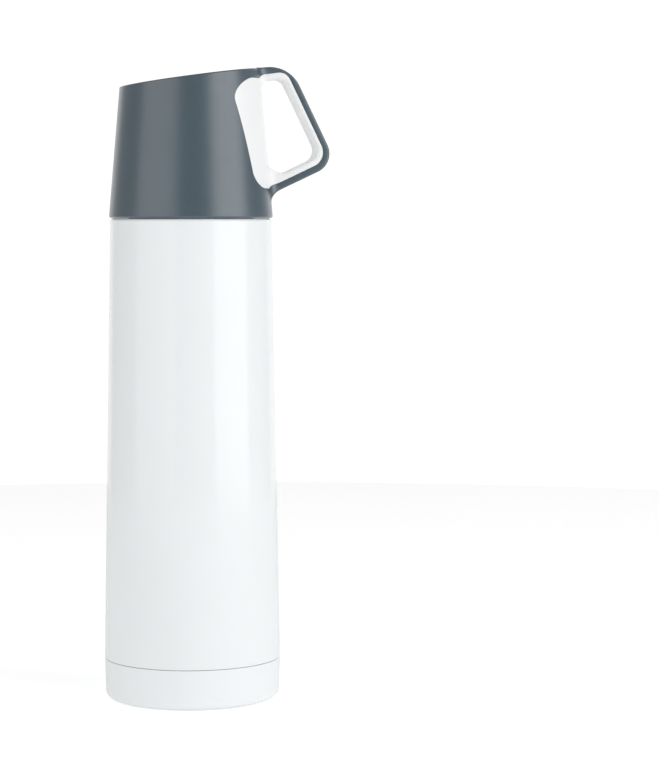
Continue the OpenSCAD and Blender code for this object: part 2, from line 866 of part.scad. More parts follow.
outer_shell();
inner_vessel();
shell_floor();
vacuum_plug();
getter();
heat_foil();
base_cap();
base_pad();
cup_shell();
cup_liner();
handle_inlay();
cup_gasket();
stopper_body();
stopper_foam();
grip_ring();
stopper_gasket();
pour_button();
button_ring();
valve_stem();
valve_plate();
valve_seal();
valve_clip();
spring_washer();
button_spring();
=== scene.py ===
import json
import math

import bmesh
import bpy
from bpy.props import (
    FloatProperty,
    FloatVectorProperty,
    IntProperty,
    PointerProperty,
)
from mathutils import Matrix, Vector


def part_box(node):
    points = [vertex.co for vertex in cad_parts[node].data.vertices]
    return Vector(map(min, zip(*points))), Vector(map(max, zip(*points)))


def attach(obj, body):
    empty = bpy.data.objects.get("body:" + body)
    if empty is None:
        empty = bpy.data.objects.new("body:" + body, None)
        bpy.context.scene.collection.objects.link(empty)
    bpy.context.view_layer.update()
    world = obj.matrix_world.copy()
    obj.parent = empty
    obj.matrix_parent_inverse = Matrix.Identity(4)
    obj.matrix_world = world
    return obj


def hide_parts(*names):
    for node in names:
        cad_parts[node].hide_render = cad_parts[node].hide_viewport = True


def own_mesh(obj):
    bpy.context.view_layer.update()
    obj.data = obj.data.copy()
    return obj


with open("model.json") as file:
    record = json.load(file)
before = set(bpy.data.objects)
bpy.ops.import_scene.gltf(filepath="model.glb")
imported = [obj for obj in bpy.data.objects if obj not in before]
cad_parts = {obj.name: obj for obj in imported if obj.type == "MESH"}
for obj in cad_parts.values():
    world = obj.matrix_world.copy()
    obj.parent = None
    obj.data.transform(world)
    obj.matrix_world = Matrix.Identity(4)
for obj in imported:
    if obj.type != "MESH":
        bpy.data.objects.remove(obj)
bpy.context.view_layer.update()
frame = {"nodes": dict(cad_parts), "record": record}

# Vacuum flask: coated body, base, cup with its looped handle, stopper and finishes, built round
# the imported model. Metres, +Z up, the cup's handle towards +X. Sizes are written as so many MM.

bl_info = {
    "name": "Vacuum Flask",
    "version": (1, 0, 0),
    "blender": (4, 5, 0),
    "location": "3D View > Sidebar > Flask",
    "description": "Builds a vacuum flask with its cup, looped handle, stopper and finishes",
    "category": "Object",
}

MM = 0.001
TURN = 2 * math.pi


# ---- Reading the frame ----

def vertices(node):
    """The points of a CAD node."""
    return [v.co for v in frame["nodes"][node].data.vertices]


def reach(node, low, high):
    """The largest radius of a CAD node between two heights."""
    return max(math.hypot(p.x, p.y) for p in vertices(node) if low <= p.z <= high)


TOP_SLOPE = math.radians(7.8)
CUP_DRAFT = math.radians(4.94)
RIM_ROUND = 0.9 * MM

SHELL_LOW, SHELL_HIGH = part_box("outer_shell")
BASE_LOW, BASE_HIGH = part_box("base_cap")
PAD_LOW, PAD_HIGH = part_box("base_pad")
GRIP_LOW, GRIP_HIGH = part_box("grip_ring")
BUTTON_LOW, BUTTON_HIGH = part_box("pour_button")
SPRING_LOW, SPRING_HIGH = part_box("button_spring")
MOUTH_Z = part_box("inner_vessel")[1].z
STOPPER_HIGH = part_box("stopper_body")[1]
CUP_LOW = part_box("cup_shell")[0]

CUP_GAP = 0.35 * MM
NECK_RADIUS = reach("inner_vessel", MOUTH_Z - 1 * MM, MOUTH_Z)
SHOULDER_Z = CUP_LOW.z - CUP_GAP
CUP_TOP_Z = max(p.z - p.x * math.tan(TOP_SLOPE) for p in vertices("cup_shell"))
CUP_RADIUS = reach("cup_shell", CUP_LOW.z, CUP_LOW.z + 2 * MM) + RIM_ROUND * math.tan(CUP_DRAFT)


# ---- Sizes and finishes that a user can change ----

def length(name, description, default):
    """A size in metres."""
    return FloatProperty(name=name, description=description, default=default, unit="LENGTH", precision=5)


def colour(name, description, default):
    """A linear colour."""
    return FloatVectorProperty(
        name=name, description=description, default=default, size=3, min=0, max=1, subtype="COLOR")


def angle(name, description, default):
    """An angle in radians, which the panel shows in degrees."""
    return FloatProperty(name=name, description=description, default=default, subtype="ANGLE")


def amount(name, description, default):
    """A number without a unit, zero or more."""
    return FloatProperty(name=name, description=description, default=default, min=0)


def tally(name, description, default):
    """How many of something there are."""
    return IntProperty(name=name, description=description, default=default, min=1)


class FlaskBodySizes(bpy.types.PropertyGroup):
    """Sizes of the coated shell, the base cap and the pad."""
    shoulder_radius: length("Shoulder radius", "Radius of the body under its shoulder",
                            reach("outer_shell", SHOULDER_Z - 4 * MM, SHOULDER_Z))
    foot_radius: length("Foot radius", "Radius of the body at the base seam", SHELL_HIGH.x)
    shoulder_height: length("Shoulder height", "Height of the shoulder above the table", SHOULDER_Z)
    shoulder_round: length("Shoulder round", "Radius of the shoulder's edge", 1.5 * MM)
    wall: length("Wall", "Wall of the coated shell", 0.6 * MM)
    neck_radius: length("Neck radius", "Outside radius of the neck", NECK_RADIUS)
    seam_gap: length("Seam gap", "Height of the gap over the base cap", 0.18 * MM)
    seam_round: length("Seam round", "Radius of the edges at the base seam", 0.22 * MM)
    skirt_radius: length("Skirt radius", "Radius of the shell inside the base cap",
                         reach("outer_shell", 0, SHELL_LOW.z + 1 * MM))
    base_wall: length("Base wall", "Wall of the base cap", 1.3 * MM)
    base_floor: length("Base floor", "Floor of the base cap", 1.5 * MM)
    base_draft: length("Base draft", "How much the base cap narrows to its foot", 0.5 * MM)
    base_corner: length("Base corner", "Radius of the base cap's lower corner", 2.6 * MM)
    pad_margin: length("Pad margin", "From the base cap's side to the pad's edge",
                       BASE_HIGH.x - 0.5 * MM - PAD_HIGH.x)
    pad_ribs: tally("Pad ribs", "Ribs round the pad", 60)
    thread_starts: tally("Thread starts", "Ridges of the cup's thread", 3)
    thread_pitch: length("Thread pitch", "Distance between neighbouring ridges", 4 * MM)
    thread_height: length("Thread height", "Height of a ridge", 1.3 * MM)
    thread_rise: length("Thread rise", "From the shoulder to the thread's start", 4 * MM)
    thread_turns: amount("Thread turns", "Turns of each ridge", 0.6)


class FlaskCupSizes(bpy.types.PropertyGroup):
    """Sizes of the cup, its light panel and its handle."""
    rim_radius: length("Rim radius", "Radius of the cup's rim", CUP_RADIUS)
    rim_height: length("Rim height", "Height of the cup's rim above the table", CUP_LOW.z)
    top_height: length("Top height", "Height of the slanted top at the axis", CUP_TOP_Z)
    draft: angle("Draft", "Draft of the cup's side", CUP_DRAFT)
    top_slope: angle("Top slope", "Slope of the cup's top", TOP_SLOPE)
    wall: length("Wall", "Wall of the cup's outer shell", 1.8 * MM)
    top_wall: length("Top wall", "Thickness of the cup's top", 2 * MM)
    rim_round: length("Rim round", "Radius of the rim's edge", RIM_ROUND)
    rim_drop: length("Rim drop", "How far the soft rim sits down on the shoulder's gap", 0.24 * MM)
    top_round: length("Top round", "Radius of the top's edge", 0.7 * MM)
    panel_low: length("Panel low", "Lower edge of the light panel above the rim", 11.4 * MM)
    panel_top: length("Panel top", "From the panel's upper edge to the cup's top", 0.6 * MM)
    panel_half_low: length("Panel half width, low", "At its lower edge", 21.6 * MM)
    panel_half_top: length("Panel half width, top", "At its upper edge", 25.6 * MM)
    panel_round_low: length("Panel round, low", "Radius of its lower corners", 7 * MM)
    panel_round_top: length("Panel round, top", "Radius of its upper corners", 9 * MM)
    panel_gap: length("Panel gap", "Gap round the panel", 0.06 * MM)


class FlaskHandleSizes(bpy.types.PropertyGroup):
    """Sizes of the handle's outer band and its light lining."""
    corner_out: length("Corner out", "From the rim's radius to the handle's low corner", 24.9 * MM)
    corner_rise: length("Corner rise", "Height of that corner above the rim", 21.6 * MM)
    grip_lean: angle("Grip lean", "Lean of the grip from upright", math.radians(25.8))
    leg_rise: angle("Leg rise", "Rise of the lower leg", math.radians(25.3))
    width: length("Width", "Width of the handle", 15 * MM)
    grip_wall: length("Grip wall", "Thickness of the outer band at the grip", 2.45 * MM)
    leg_wall: length("Leg wall", "Thickness of the outer band at its legs", 2.75 * MM)
    grip_lining: length("Grip lining", "Thickness of the lining at the grip", 1.5 * MM)
    leg_lining: length("Leg lining", "Thickness of the lining at the legs", 2.4 * MM)
    root_round: length("Root round", "Fillet where the handle's sides meet the cup", 4 * MM)
    web_round: length("Web round", "Fillet under the lower leg", 5.5 * MM)
    band_bend_top: length("Band bend, top", "Radius of the band's upper bend", 13 * MM)
    band_bend_low: length("Band bend, low", "Radius of the band's lower bend", 8 * MM)
    joint_bend_top: length("Joint bend, top", "The same where band and lining meet", 4.6 * MM)
    joint_bend_low: length("Joint bend, low", "The same where band and lining meet", 6 * MM)
    hole_bend_top: length("Hole bend, top", "Radius of the hole's upper corner", 4.2 * MM)
    hole_bend_low: length("Hole bend, low", "Radius of the hole's lower corner", 5 * MM)
    hole_root_top: length("Hole root, top", "Fillet of the hole at the cup, above", 3.6 * MM)
    hole_root_low: length("Hole root, low", "Fillet of the hole at the cup, below", 5.2 * MM)
    lining_gap: length("Lining gap", "Gap between the band and its lining", 0.04 * MM)
    top_dip: length("Top dip", "Arc that leads the panel's upper edge into the band", 1.8 * MM)
    low_dip: length("Low dip", "Arc that leads the panel's lower edge into the band", 1.5 * MM)
    band_edge: length("Band edge", "Radius of the band's outer edges", 0.85 * MM)
    hole_edge: length("Hole edge", "Radius of the lining's edges in the hole", 0.8 * MM)
    joint_edge: length("Joint edge", "Radius of the edges between band and lining", 0.1 * MM)


class FlaskStopperSizes(bpy.types.PropertyGroup):
    """Sizes of the stopper's grip ring, the pour button and its spring."""
    ring_radius: length("Ring radius", "Radius of the grip ring", STOPPER_HIGH.x)
    ring_bore: length("Ring bore", "Radius of the ring's bore", 9.3 * MM)
    flutes: tally("Flutes", "Finger flutes round the ring", 30)
    flute_depth: length("Flute depth", "Depth of a flute", 0.65 * MM)
    slots: tally("Slots", "Pouring slots in the ring", 3)
    slot_sweep: angle("Slot sweep", "Angle that a slot takes up", math.radians(52))
    slot_inner: length("Slot inner", "Inner radius of the pouring slots", 10.4 * MM)
    slot_outer: length("Slot outer", "Outer radius of the pouring slots", 12.2 * MM)
    spigot_inner: length("Spigot inner", "Inner radius of the ring's spigot", 13.9 * MM)
    spigot_outer: length("Spigot outer", "Outer radius of the ring's spigot", 17.6 * MM)
    button_radius: length("Button radius", "Radius of the pour button", 9 * MM)
    dish_radius: length("Dish radius", "Radius of the button's finger dish", 6.4 * MM)
    dish_depth: length("Dish depth", "Depth of the finger dish", 0.7 * MM)
    stem_radius: length("Stem radius", "Radius of the valve's stem", 2.4 * MM)
    stem_top: length("Stem top", "Height of the stem's upper end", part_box("valve_stem")[1].z)
    groove_low: length("Groove low", "Height of the wiper ring's groove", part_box("button_ring")[0].z)
    groove_high: length("Groove high", "Top of that groove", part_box("button_ring")[1].z)
    wire: length("Wire", "Diameter of the spring's wire", 0.8 * MM)
    coil_turns: tally("Coil turns", "Turns of the spring", 7)


class FlaskFinishes(bpy.types.PropertyGroup):
    """Colours of the flask's finishes."""
    coat: colour("Coat", "Gloss white coat of the body", (0.85, 0.878, 0.89))
    grey: colour("Grey", "Satin grey plastic of the cup", (0.032, 0.063, 0.085))
    light: colour("Light", "Satin white plastic of the panel and lining", (0.86, 0.87, 0.875))
    steel: colour("Steel", "Drawn stainless steel", (0.56, 0.565, 0.57))
    seal: colour("Seal", "Silicone of the seals", (0.70, 0.70, 0.67))
    rubber: colour("Rubber", "Dark rubber of the pad", (0.045, 0.048, 0.052))
    foam: colour("Foam", "Insulating foam", (0.80, 0.78, 0.72))


class FlaskStage(bpy.types.PropertyGroup):
    """Camera and lights."""
    turn: angle("Turn", "Camera's turn round the flask", math.radians(-10))
    dip: angle("Dip", "How far the camera looks down", math.radians(3.8))
    distance: length("Distance", "Camera's distance from the flask", 0.985)
    aside: length("Aside", "Camera's step to the right", 0.0549)
    height: length("Height", "Camera's height", 0.19266)
    lens: amount("Lens", "Focal length in millimetres", 117.0)
    surround: amount("Surround", "Brightness of the studio walls", 0.43)
    backdrop: amount("Backdrop", "Brightness of the wall behind", 1.0)
    floor_radius: length("Floor radius", "Radius of the lit floor", 0.8)
    floor_glow: amount("Floor glow", "Glow of the floor towards the camera", 0.44)
    left_box: amount("Left box", "Brightness of the left soft box", 0.95)
    right_box: amount("Right box", "Brightness of the right soft box", 1.85)
    left_angle: angle("Left angle", "Left soft box's turn from the camera's side", math.radians(-48))
    right_angle: angle("Right angle", "Right soft box's turn from the camera's side", math.radians(60))
    left_width: length("Left width", "Width of the left soft box", 1.15)
    right_width: length("Right width", "Width of the right soft box", 0.95)
    box_height: length("Box height", "Height of both soft boxes", 1.7)
    box_distance: length("Box distance", "From the flask's middle to each soft box", 1.0)


class FlaskSettings(bpy.types.PropertyGroup):
    """All the flask's settings."""
    body: PointerProperty(type=FlaskBodySizes)
    cup: PointerProperty(type=FlaskCupSizes)
    handle: PointerProperty(type=FlaskHandleSizes)
    stopper: PointerProperty(type=FlaskStopperSizes)
    finishes: PointerProperty(type=FlaskFinishes)
    stage: PointerProperty(type=FlaskStage)


# ---- Outlines in a plane ----

def cross(a, b):
    """Cross product of two plane vectors."""
    return a.x * b.y - a.y * b.x


def meet(p, a, q, b):
    """Where the line through p along a meets the line through q along b."""
    return p + a * (cross(q - p, b) / cross(a, b))


def left_of(d):
    """The direction d turned a quarter turn to the left."""
    return Vector((-d.y, d.x))


def corner(before, point, after, radius, steps):
    """An outline's corner as an arc, or as its point where the radius is zero."""
    point = Vector(point)
    if radius <= 0:
        return [point]
    u = (Vector(before) - point).normalized()
    v = (Vector(after) - point).normalized()
    half = math.acos(max(-1, min(1, u.dot(v)))) / 2
    centre = point + (u + v).normalized() * radius / math.sin(half)
    start = point + u * radius / math.tan(half) - centre
    end = point + v * radius / math.tan(half) - centre
    first = math.atan2(start.y, start.x)
    turn = (math.atan2(end.y, end.x) - first + 3 * math.pi) % TURN - math.pi
    angles = [first + turn * i / steps for i in range(steps + 1)]
    return [centre + radius * Vector((math.cos(a), math.sin(a))) for a in angles]


def outline(corners, steps=8):
    """A closed outline from corner points (x, y, radius)."""
    count = len(corners)
    points = []
    for i, (x, y, radius) in enumerate(corners):
        before = corners[i - 1][:2]
        after = corners[(i + 1) % count][:2]
        points += corner(before, (x, y), after, radius, steps)
    return points


def open_outline(corners, steps=8):
    """An outline whose two ends stay open, from corner points (x, y, radius)."""
    points = [Vector(corners[0][:2])]
    for before, here, after in zip(corners, corners[1:], corners[2:]):
        points += corner(before[:2], here[:2], after[:2], here[2], steps)
    return points + [Vector(corners[-1][:2])]


# ---- Meshes ----

# Edges sharper than this stay sharp, and points closer than the weld become one
SHARP = math.radians(32)
WELD = 1e-7


def new_object(name, mesh):
    """Links a mesh to the scene as a new object."""
    piece = bpy.data.objects.new(name, mesh)
    bpy.context.scene.collection.objects.link(piece)
    return piece


def mesh_from(name, points, faces):
    """A closed mesh with its faces outwards and its doubles merged."""
    mesh = bpy.data.meshes.new(name)
    mesh.from_pydata([tuple(p) for p in points], [], faces)
    tidy(mesh, True)
    return mesh


def tidy(mesh, turn_out):
    """Merges doubles, drops faces of no size and, if asked, turns the faces outwards."""
    work = bmesh.new()
    work.from_mesh(mesh)
    bmesh.ops.remove_doubles(work, verts=work.verts, dist=WELD)
    bmesh.ops.dissolve_degenerate(work, edges=work.edges, dist=WELD)
    if turn_out:
        bmesh.ops.recalc_face_normals(work, faces=work.faces)
    work.to_mesh(mesh)
    work.free()


def bake(piece):
    """Replaces a piece's mesh with what its modifiers make, and removes them."""
    depsgraph = bpy.context.evaluated_depsgraph_get()
    mesh = bpy.data.meshes.new_from_object(piece.evaluated_get(depsgraph))
    piece.modifiers.clear()
    old = piece.data
    piece.data = mesh
    bpy.data.meshes.remove(old)
    return piece


def combine(piece, other, operation):
    """Cuts, joins or crosses a piece with another, which is used up."""
    step = piece.modifiers.new("combine", "BOOLEAN")
    step.solver = "EXACT"
    step.operation = operation
    step.object = other
    bake(piece)
    tidy(piece.data, False)
    bpy.data.objects.remove(other)
    return piece


def finish_piece(piece, name, body, node, slot):
    """Shades a piece, gives it its slot's finish, ties it to its body and hides the CAD node that it
    stands in for.
    """
    if not piece.data.polygons:
        raise RuntimeError(f"{name} came out empty")
    piece.name = name
    piece.data.name = name
    piece.data.materials.clear()
    piece.data.materials.append(FINISH[slot])
    piece.data.shade_smooth()
    piece.data.set_sharp_from_angle(angle=SHARP)
    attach(piece, body)
    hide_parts(node)


def lathe(name, profile_at, steps=256):
    """A turned piece. profile_at(angle) gives its outline as (radius, height) points, closed,
    or with both ends on the axis."""
    rings = [profile_at(TURN * i / steps) for i in range(steps)]
    count = len(rings[0])
    poled = rings[0][0].x == 0 and rings[0][-1].x == 0
    points = []
    for i, ring in enumerate(rings):
        angle = TURN * i / steps
        points += [(p.x * math.cos(angle), p.x * math.sin(angle), p.y) for p in ring]
    faces = []
    for i in range(steps):
        here = i * count
        there = (i + 1) % steps * count
        for k in range(count - 1 if poled else count):
            k2 = (k + 1) % count
            quad = [here + k, here + k2, there + k2, there + k]
            if poled and k == 0:
                quad = [k, here + k2, there + k2]
            if poled and k2 == count - 1:
                quad = [here + k, k2, there + k]
            faces.append(quad)
    return new_object(name, mesh_from(name, points, faces))


def turned(name, corners, steps=256, arc_steps=8):
    """A turned piece with one outline all round."""
    ends_on_axis = corners[0][0] == 0 and corners[-1][0] == 0
    points = open_outline(corners, arc_steps) if ends_on_axis else outline(corners, arc_steps)
    return lathe(name, lambda angle: points, steps)


def prism(name, points, low, high, axis):
    """A straight piece with an outline, from low to high along axis 0 (X) or 2 (Z)."""
    count = len(points)
    place = {0: lambda p, t: (t, p.x, p.y), 2: lambda p, t: (p.x, p.y, t)}[axis]
    both = [place(p, low) for p in points] + [place(p, high) for p in points]
    faces = [[i, (i + 1) % count, (i + 1) % count + count, i + count] for i in range(count)]
    faces += [list(range(count)), list(range(count, 2 * count))]
    return new_object(name, mesh_from(name, both, faces))


# ---- Geometry Nodes ----

def tree_input(tree, name, kind, default=None):
    """Adds a named input to a tree."""
    socket = tree.interface.new_socket(name, in_out="INPUT", socket_type=kind)
    if default is not None:
        socket.default_value = default
    return socket


def new_tree(name):
    """An empty Geometry Nodes tree with its geometry and material inputs and its geometry output."""
    tree = bpy.data.node_groups.new(name, "GeometryNodeTree")
    tree.is_modifier = True
    tree_input(tree, "Geometry", "NodeSocketGeometry")
    tree.interface.new_socket("Geometry", in_out="OUTPUT", socket_type="NodeSocketGeometry")
    tree_input(tree, "Material", "NodeSocketMaterial")
    return tree


def close_tree(tree, source, geometry):
    """Ends a tree in Realize Instances and Set Material."""
    realize = tree.nodes.new("GeometryNodeRealizeInstances")
    paint = tree.nodes.new("GeometryNodeSetMaterial")
    out = tree.nodes.new("NodeGroupOutput")
    tree.links.new(geometry, realize.inputs["Geometry"])
    tree.links.new(realize.outputs["Geometry"], paint.inputs["Geometry"])
    tree.links.new(source.outputs["Material"], paint.inputs["Material"])
    tree.links.new(paint.outputs["Geometry"], out.inputs["Geometry"])


def maths(tree, operation, a, b):
    """A Math node's result; a and b are sockets or numbers."""
    node = tree.nodes.new("ShaderNodeMath")
    node.operation = operation
    for socket, value in zip(node.inputs, (a, b)):
        if isinstance(value, (int, float)):
            socket.default_value = value
        else:
            tree.links.new(value, socket)
    return node.outputs[0]


def ring_tree():
    """Repeats a piece's mesh evenly round the axis. Inputs: Count, Phase."""
    tree = new_tree("Copies in a ring")
    tree_input(tree, "Count", "NodeSocketInt", 3)
    tree_input(tree, "Phase", "NodeSocketFloat", 0.0)
    source = tree.nodes.new("NodeGroupInput")
    places = tree.nodes.new("GeometryNodePoints")
    index = tree.nodes.new("GeometryNodeInputIndex")
    turn = tree.nodes.new("ShaderNodeCombineXYZ")
    copies = tree.nodes.new("GeometryNodeInstanceOnPoints")
    tree.links.new(source.outputs["Count"], places.inputs["Count"])
    step = maths(tree, "DIVIDE", TURN, source.outputs["Count"])
    place = maths(tree, "ADD", index.outputs[0], source.outputs["Phase"])
    tree.links.new(maths(tree, "MULTIPLY", step, place), turn.inputs["Z"])
    tree.links.new(turn.outputs[0], copies.inputs["Rotation"])
    tree.links.new(places.outputs[0], copies.inputs["Points"])
    tree.links.new(source.outputs["Geometry"], copies.inputs["Instance"])
    close_tree(tree, source, copies.outputs[0])
    return tree


def eased(tree, factor, low, high, size):
    """Rises from 0 to size while factor goes from low to high."""
    node = tree.nodes.new("ShaderNodeMapRange")
    for name, value in (("Value", factor), ("From Min", low), ("From Max", high), ("To Max", size)):
        if isinstance(value, (int, float)):
            node.inputs[name].default_value = value
        else:
            tree.links.new(value, node.inputs[name])
    return node.outputs["Result"]


def coil_tree():
    """A compression spring with closed end turns. Inputs: Turns, Radius, Wire, Height, Base."""
    tree = new_tree("Coil spring")
    tree_input(tree, "Turns", "NodeSocketInt", 7)
    for name, value in (("Radius", 4.7 * MM), ("Wire", 0.8 * MM), ("Height", 28 * MM), ("Base", 0.0)):
        tree_input(tree, name, "NodeSocketFloat", value)
    source = tree.nodes.new("NodeGroupInput")
    turns, radius, wire, height, base = (
        source.outputs[n] for n in ("Turns", "Radius", "Wire", "Height", "Base"))
    spiral = tree.nodes.new("GeometryNodeCurveSpiral")
    spiral.inputs["Resolution"].default_value = 48
    spiral.inputs["Height"].default_value = 0
    tree.links.new(turns, spiral.inputs["Rotations"])
    tree.links.new(radius, spiral.inputs["Start Radius"])
    tree.links.new(radius, spiral.inputs["End Radius"])
    factor = tree.nodes.new("GeometryNodeSplineParameter").outputs["Factor"]
    one = maths(tree, "DIVIDE", 1.0, turns)
    last = maths(tree, "SUBTRACT", 1.0, one)
    free = maths(tree, "SUBTRACT", height, maths(tree, "MULTIPLY", 3.0, wire))
    rise = maths(tree, "ADD", eased(tree, factor, 0.0, one, wire), eased(tree, factor, last, 1.0, wire))
    rise = maths(tree, "ADD", rise, eased(tree, factor, one, last, free))
    rise = maths(tree, "ADD", rise, maths(tree, "ADD", base, maths(tree, "MULTIPLY", 0.5, wire)))
    lift = tree.nodes.new("ShaderNodeCombineXYZ")
    tree.links.new(rise, lift.inputs["Z"])
    moved = tree.nodes.new("GeometryNodeSetPosition")
    tree.links.new(spiral.outputs[0], moved.inputs["Geometry"])
    tree.links.new(lift.outputs[0], moved.inputs["Offset"])
    section = tree.nodes.new("GeometryNodeCurvePrimitiveCircle")
    section.inputs["Resolution"].default_value = 14
    tree.links.new(maths(tree, "MULTIPLY", 0.5, wire), section.inputs["Radius"])
    tube = tree.nodes.new("GeometryNodeCurveToMesh")
    tube.inputs["Fill Caps"].default_value = True
    tree.links.new(moved.outputs[0], tube.inputs["Curve"])
    tree.links.new(section.outputs["Curve"], tube.inputs["Profile Curve"])
    close_tree(tree, source, tube.outputs[0])
    return tree


def grow(piece, tree, material, **values):
    """Runs a tree on a piece with its inputs set by name, and bakes the result."""
    step = piece.modifiers.new(tree.name, "NODES")
    step.node_group = tree
    keys = {s.name: s.identifier for s in tree.interface.items_tree if s.in_out == "INPUT"}
    step[keys["Material"]] = material
    for name, value in values.items():
        step[keys[name]] = value
    bake(piece)
    tidy(piece.data, True)
    return piece


# ---- Finishes ----

def node_at(tree, kind, **values):
    """A shader node with its inputs set by name."""
    node = tree.nodes.new(kind)
    for name, value in values.items():
        node.inputs[name.replace("_", " ")].default_value = value
    return node


class Surface:
    """A procedural finish in the making: a Principled shader and the patterns that drive it."""

    def __init__(self, name, roughness, **sockets):
        self.material = bpy.data.materials.new(name)
        self.material.use_nodes = True
        self.tree = self.material.node_tree
        self.shader = self.tree.nodes["Principled BSDF"]
        self.shader.inputs["Roughness"].default_value = roughness
        for key, value in sockets.items():
            self.shader.inputs[key.replace("_", " ")].default_value = value
        self.place = self.tree.nodes.new("ShaderNodeTexCoord").outputs["Object"]
        self.normal = None

    def link(self, a, b):
        """Joins an output to an input."""
        self.tree.links.new(a, b)

    def stretched(self, scale):
        """Object coordinates scaled along each axis."""
        node = node_at(self.tree, "ShaderNodeMapping", Scale=scale)
        self.link(self.place, node.inputs["Vector"])
        return node.outputs[0]

    def noise(self, scale, detail=2.0, place=None):
        """Smooth noise; scale is in features a metre."""
        node = node_at(self.tree, "ShaderNodeTexNoise", Scale=scale, Detail=detail)
        self.link(place or self.place, node.inputs["Vector"])
        return node.outputs["Fac"]

    def cells(self, scale, place=None):
        """Distance to the nearest of scattered points; scale is in features a metre."""
        node = node_at(self.tree, "ShaderNodeTexVoronoi", Scale=scale)
        self.link(place or self.place, node.inputs["Vector"])
        return node.outputs["Distance"]

    def spread(self, pattern, low, high):
        """A pattern stretched to run smoothly from low to high."""
        node = node_at(self.tree, "ShaderNodeMapRange", From_Min=0.1, From_Max=0.9)
        node.interpolation_type = "SMOOTHSTEP"
        node.inputs["To Min"].default_value = low
        node.inputs["To Max"].default_value = high
        self.link(pattern, node.inputs["Value"])
        return node.outputs["Result"]

    def colours(self, pattern, base, change):
        """Base colour that runs from a darker to a lighter shade with a pattern."""
        node = self.tree.nodes.new("ShaderNodeMix")
        node.data_type = "RGBA"
        self.link(self.spread(pattern, 0.0, 1.0), node.inputs[0])
        for socket, share in ((node.inputs[6], 1 - change), (node.inputs[7], 1 + change)):
            socket.default_value = [min(1, c * share) for c in base] + [1]
        self.link(node.outputs[2], self.shader.inputs["Base Color"])

    def rough(self, pattern, low, high):
        """Roughness that runs from low to high with a pattern."""
        self.link(self.spread(pattern, low, high), self.shader.inputs["Roughness"])

    def bump(self, pattern, depth, strength=1.0):
        """Relief from a pattern, depth in metres, laid over any relief before it."""
        node = node_at(self.tree, "ShaderNodeBump", Strength=strength, Distance=depth)
        self.link(pattern, node.inputs["Height"])
        if self.normal:
            self.link(self.normal, node.inputs["Normal"])
        self.normal = node.outputs[0]
        self.link(self.normal, self.shader.inputs["Normal"])


def coated(name, base):
    """Gloss powder coat: faint orange peel and fine flow under a clear, hard gloss."""
    s = Surface(name, 0.2, Specular_IOR_Level=0.36, Coat_Weight=0.25, Coat_Roughness=0.06)
    s.colours(s.noise(28, 3), base, 0.012)
    s.rough(s.noise(90, 3), 0.16, 0.24)
    s.bump(s.noise(520, 2), 0.006 * MM)
    s.bump(s.noise(2600, 2), 0.0012 * MM)
    return s.material


def satin(name, base, low, high, grain=1.0, change=0.05, **sockets):
    """Moulded plastic with a spark-eroded grain: fine pits, slow flow marks, even satin sheen."""
    s = Surface(name, (low + high) / 2, **sockets)
    s.colours(s.noise(45, 4), base, change)
    s.rough(s.noise(240, 3), low, high)
    s.bump(s.noise(3200, 2), 0.0035 * MM * grain)
    return s.material


def drawn_steel(name, base, along=(60, 60, 2600), low=0.2, high=0.34):
    """Steel with fine lines drawn round it and a faint cloudiness."""
    s = Surface(name, 0.27, Metallic=1.0)
    lines = s.noise(1.0, 2, s.stretched(along))
    s.colours(s.noise(70, 3), base, 0.05)
    s.rough(lines, low, high)
    s.bump(lines, 0.004 * MM)
    return s.material


def soft_seal(name, base):
    """Matt, faintly clouded silicone."""
    s = Surface(name, 0.5, Subsurface_Weight=0.15, Subsurface_Scale=0.002)
    s.colours(s.noise(120, 3), base, 0.03)
    s.rough(s.noise(500, 3), 0.42, 0.6)
    s.bump(s.noise(1800, 3), 0.01 * MM)
    return s.material


def dark_rubber(name, base):
    """Matt rubber with a fine grain and paler dust in it."""
    s = Surface(name, 0.75, Specular_IOR_Level=0.3)
    s.colours(s.noise(260, 4), base, 0.3)
    s.rough(s.noise(700, 3), 0.62, 0.85)
    s.bump(s.noise(2600, 4), 0.03 * MM)
    return s.material


def cell_foam(name, base):
    """Rigid foam with open cells."""
    s = Surface(name, 0.9, Specular_IOR_Level=0.2)
    s.colours(s.cells(900), base, 0.12)
    s.rough(s.noise(800, 2), 0.82, 0.95)
    s.bump(s.cells(1400), 0.2 * MM)
    return s.material


def crumpled_foil(name, base):
    """Bright foil with creases."""
    s = Surface(name, 0.2, Metallic=1.0)
    s.colours(s.noise(90, 2), base, 0.04)
    s.rough(s.noise(200, 2), 0.12, 0.3)
    s.bump(s.cells(130), 0.5 * MM)
    return s.material


# Every material by its slot's name in the record
FINISH = {}


def make_finishes(tint):
    """All the flask's materials, by the record's slot names."""
    dark_metal = [0.35 * c for c in tint.steel]
    FINISH.update({
        "coated_steel": coated("gloss_coat_body", tint.coat),
        "white_cap": coated("gloss_coat_base", tint.coat),
        "grey_plastic": satin("satin_grey", tint.grey, 0.29, 0.38, Specular_IOR_Level=0.95,
                              Coat_Weight=0.5, Coat_Roughness=0.28),
        "white_plastic": satin("satin_white", tint.light, 0.3, 0.4, 0.3, 0.012),
        "bare_steel": drawn_steel("drawn_steel", tint.steel),
        "spring_steel": drawn_steel("spring_wire", tint.steel, (900, 900, 900), 0.12, 0.24),
        "getter_metal": drawn_steel("sintered_metal", dark_metal, (1500, 1500, 1500), 0.5, 0.7),
        "seal_bead": drawn_steel("seal_bead", dark_metal, (400, 400, 400), 0.3, 0.5),
        "foil": crumpled_foil("bright_foil", (0.80, 0.81, 0.83)),
        "silicone": soft_seal("silicone_seal", tint.seal),
        "dark_rubber": dark_rubber("pad_rubber", tint.rubber),
        "foam": cell_foam("cell_foam", tint.foam),
    })


# ---- Body ----

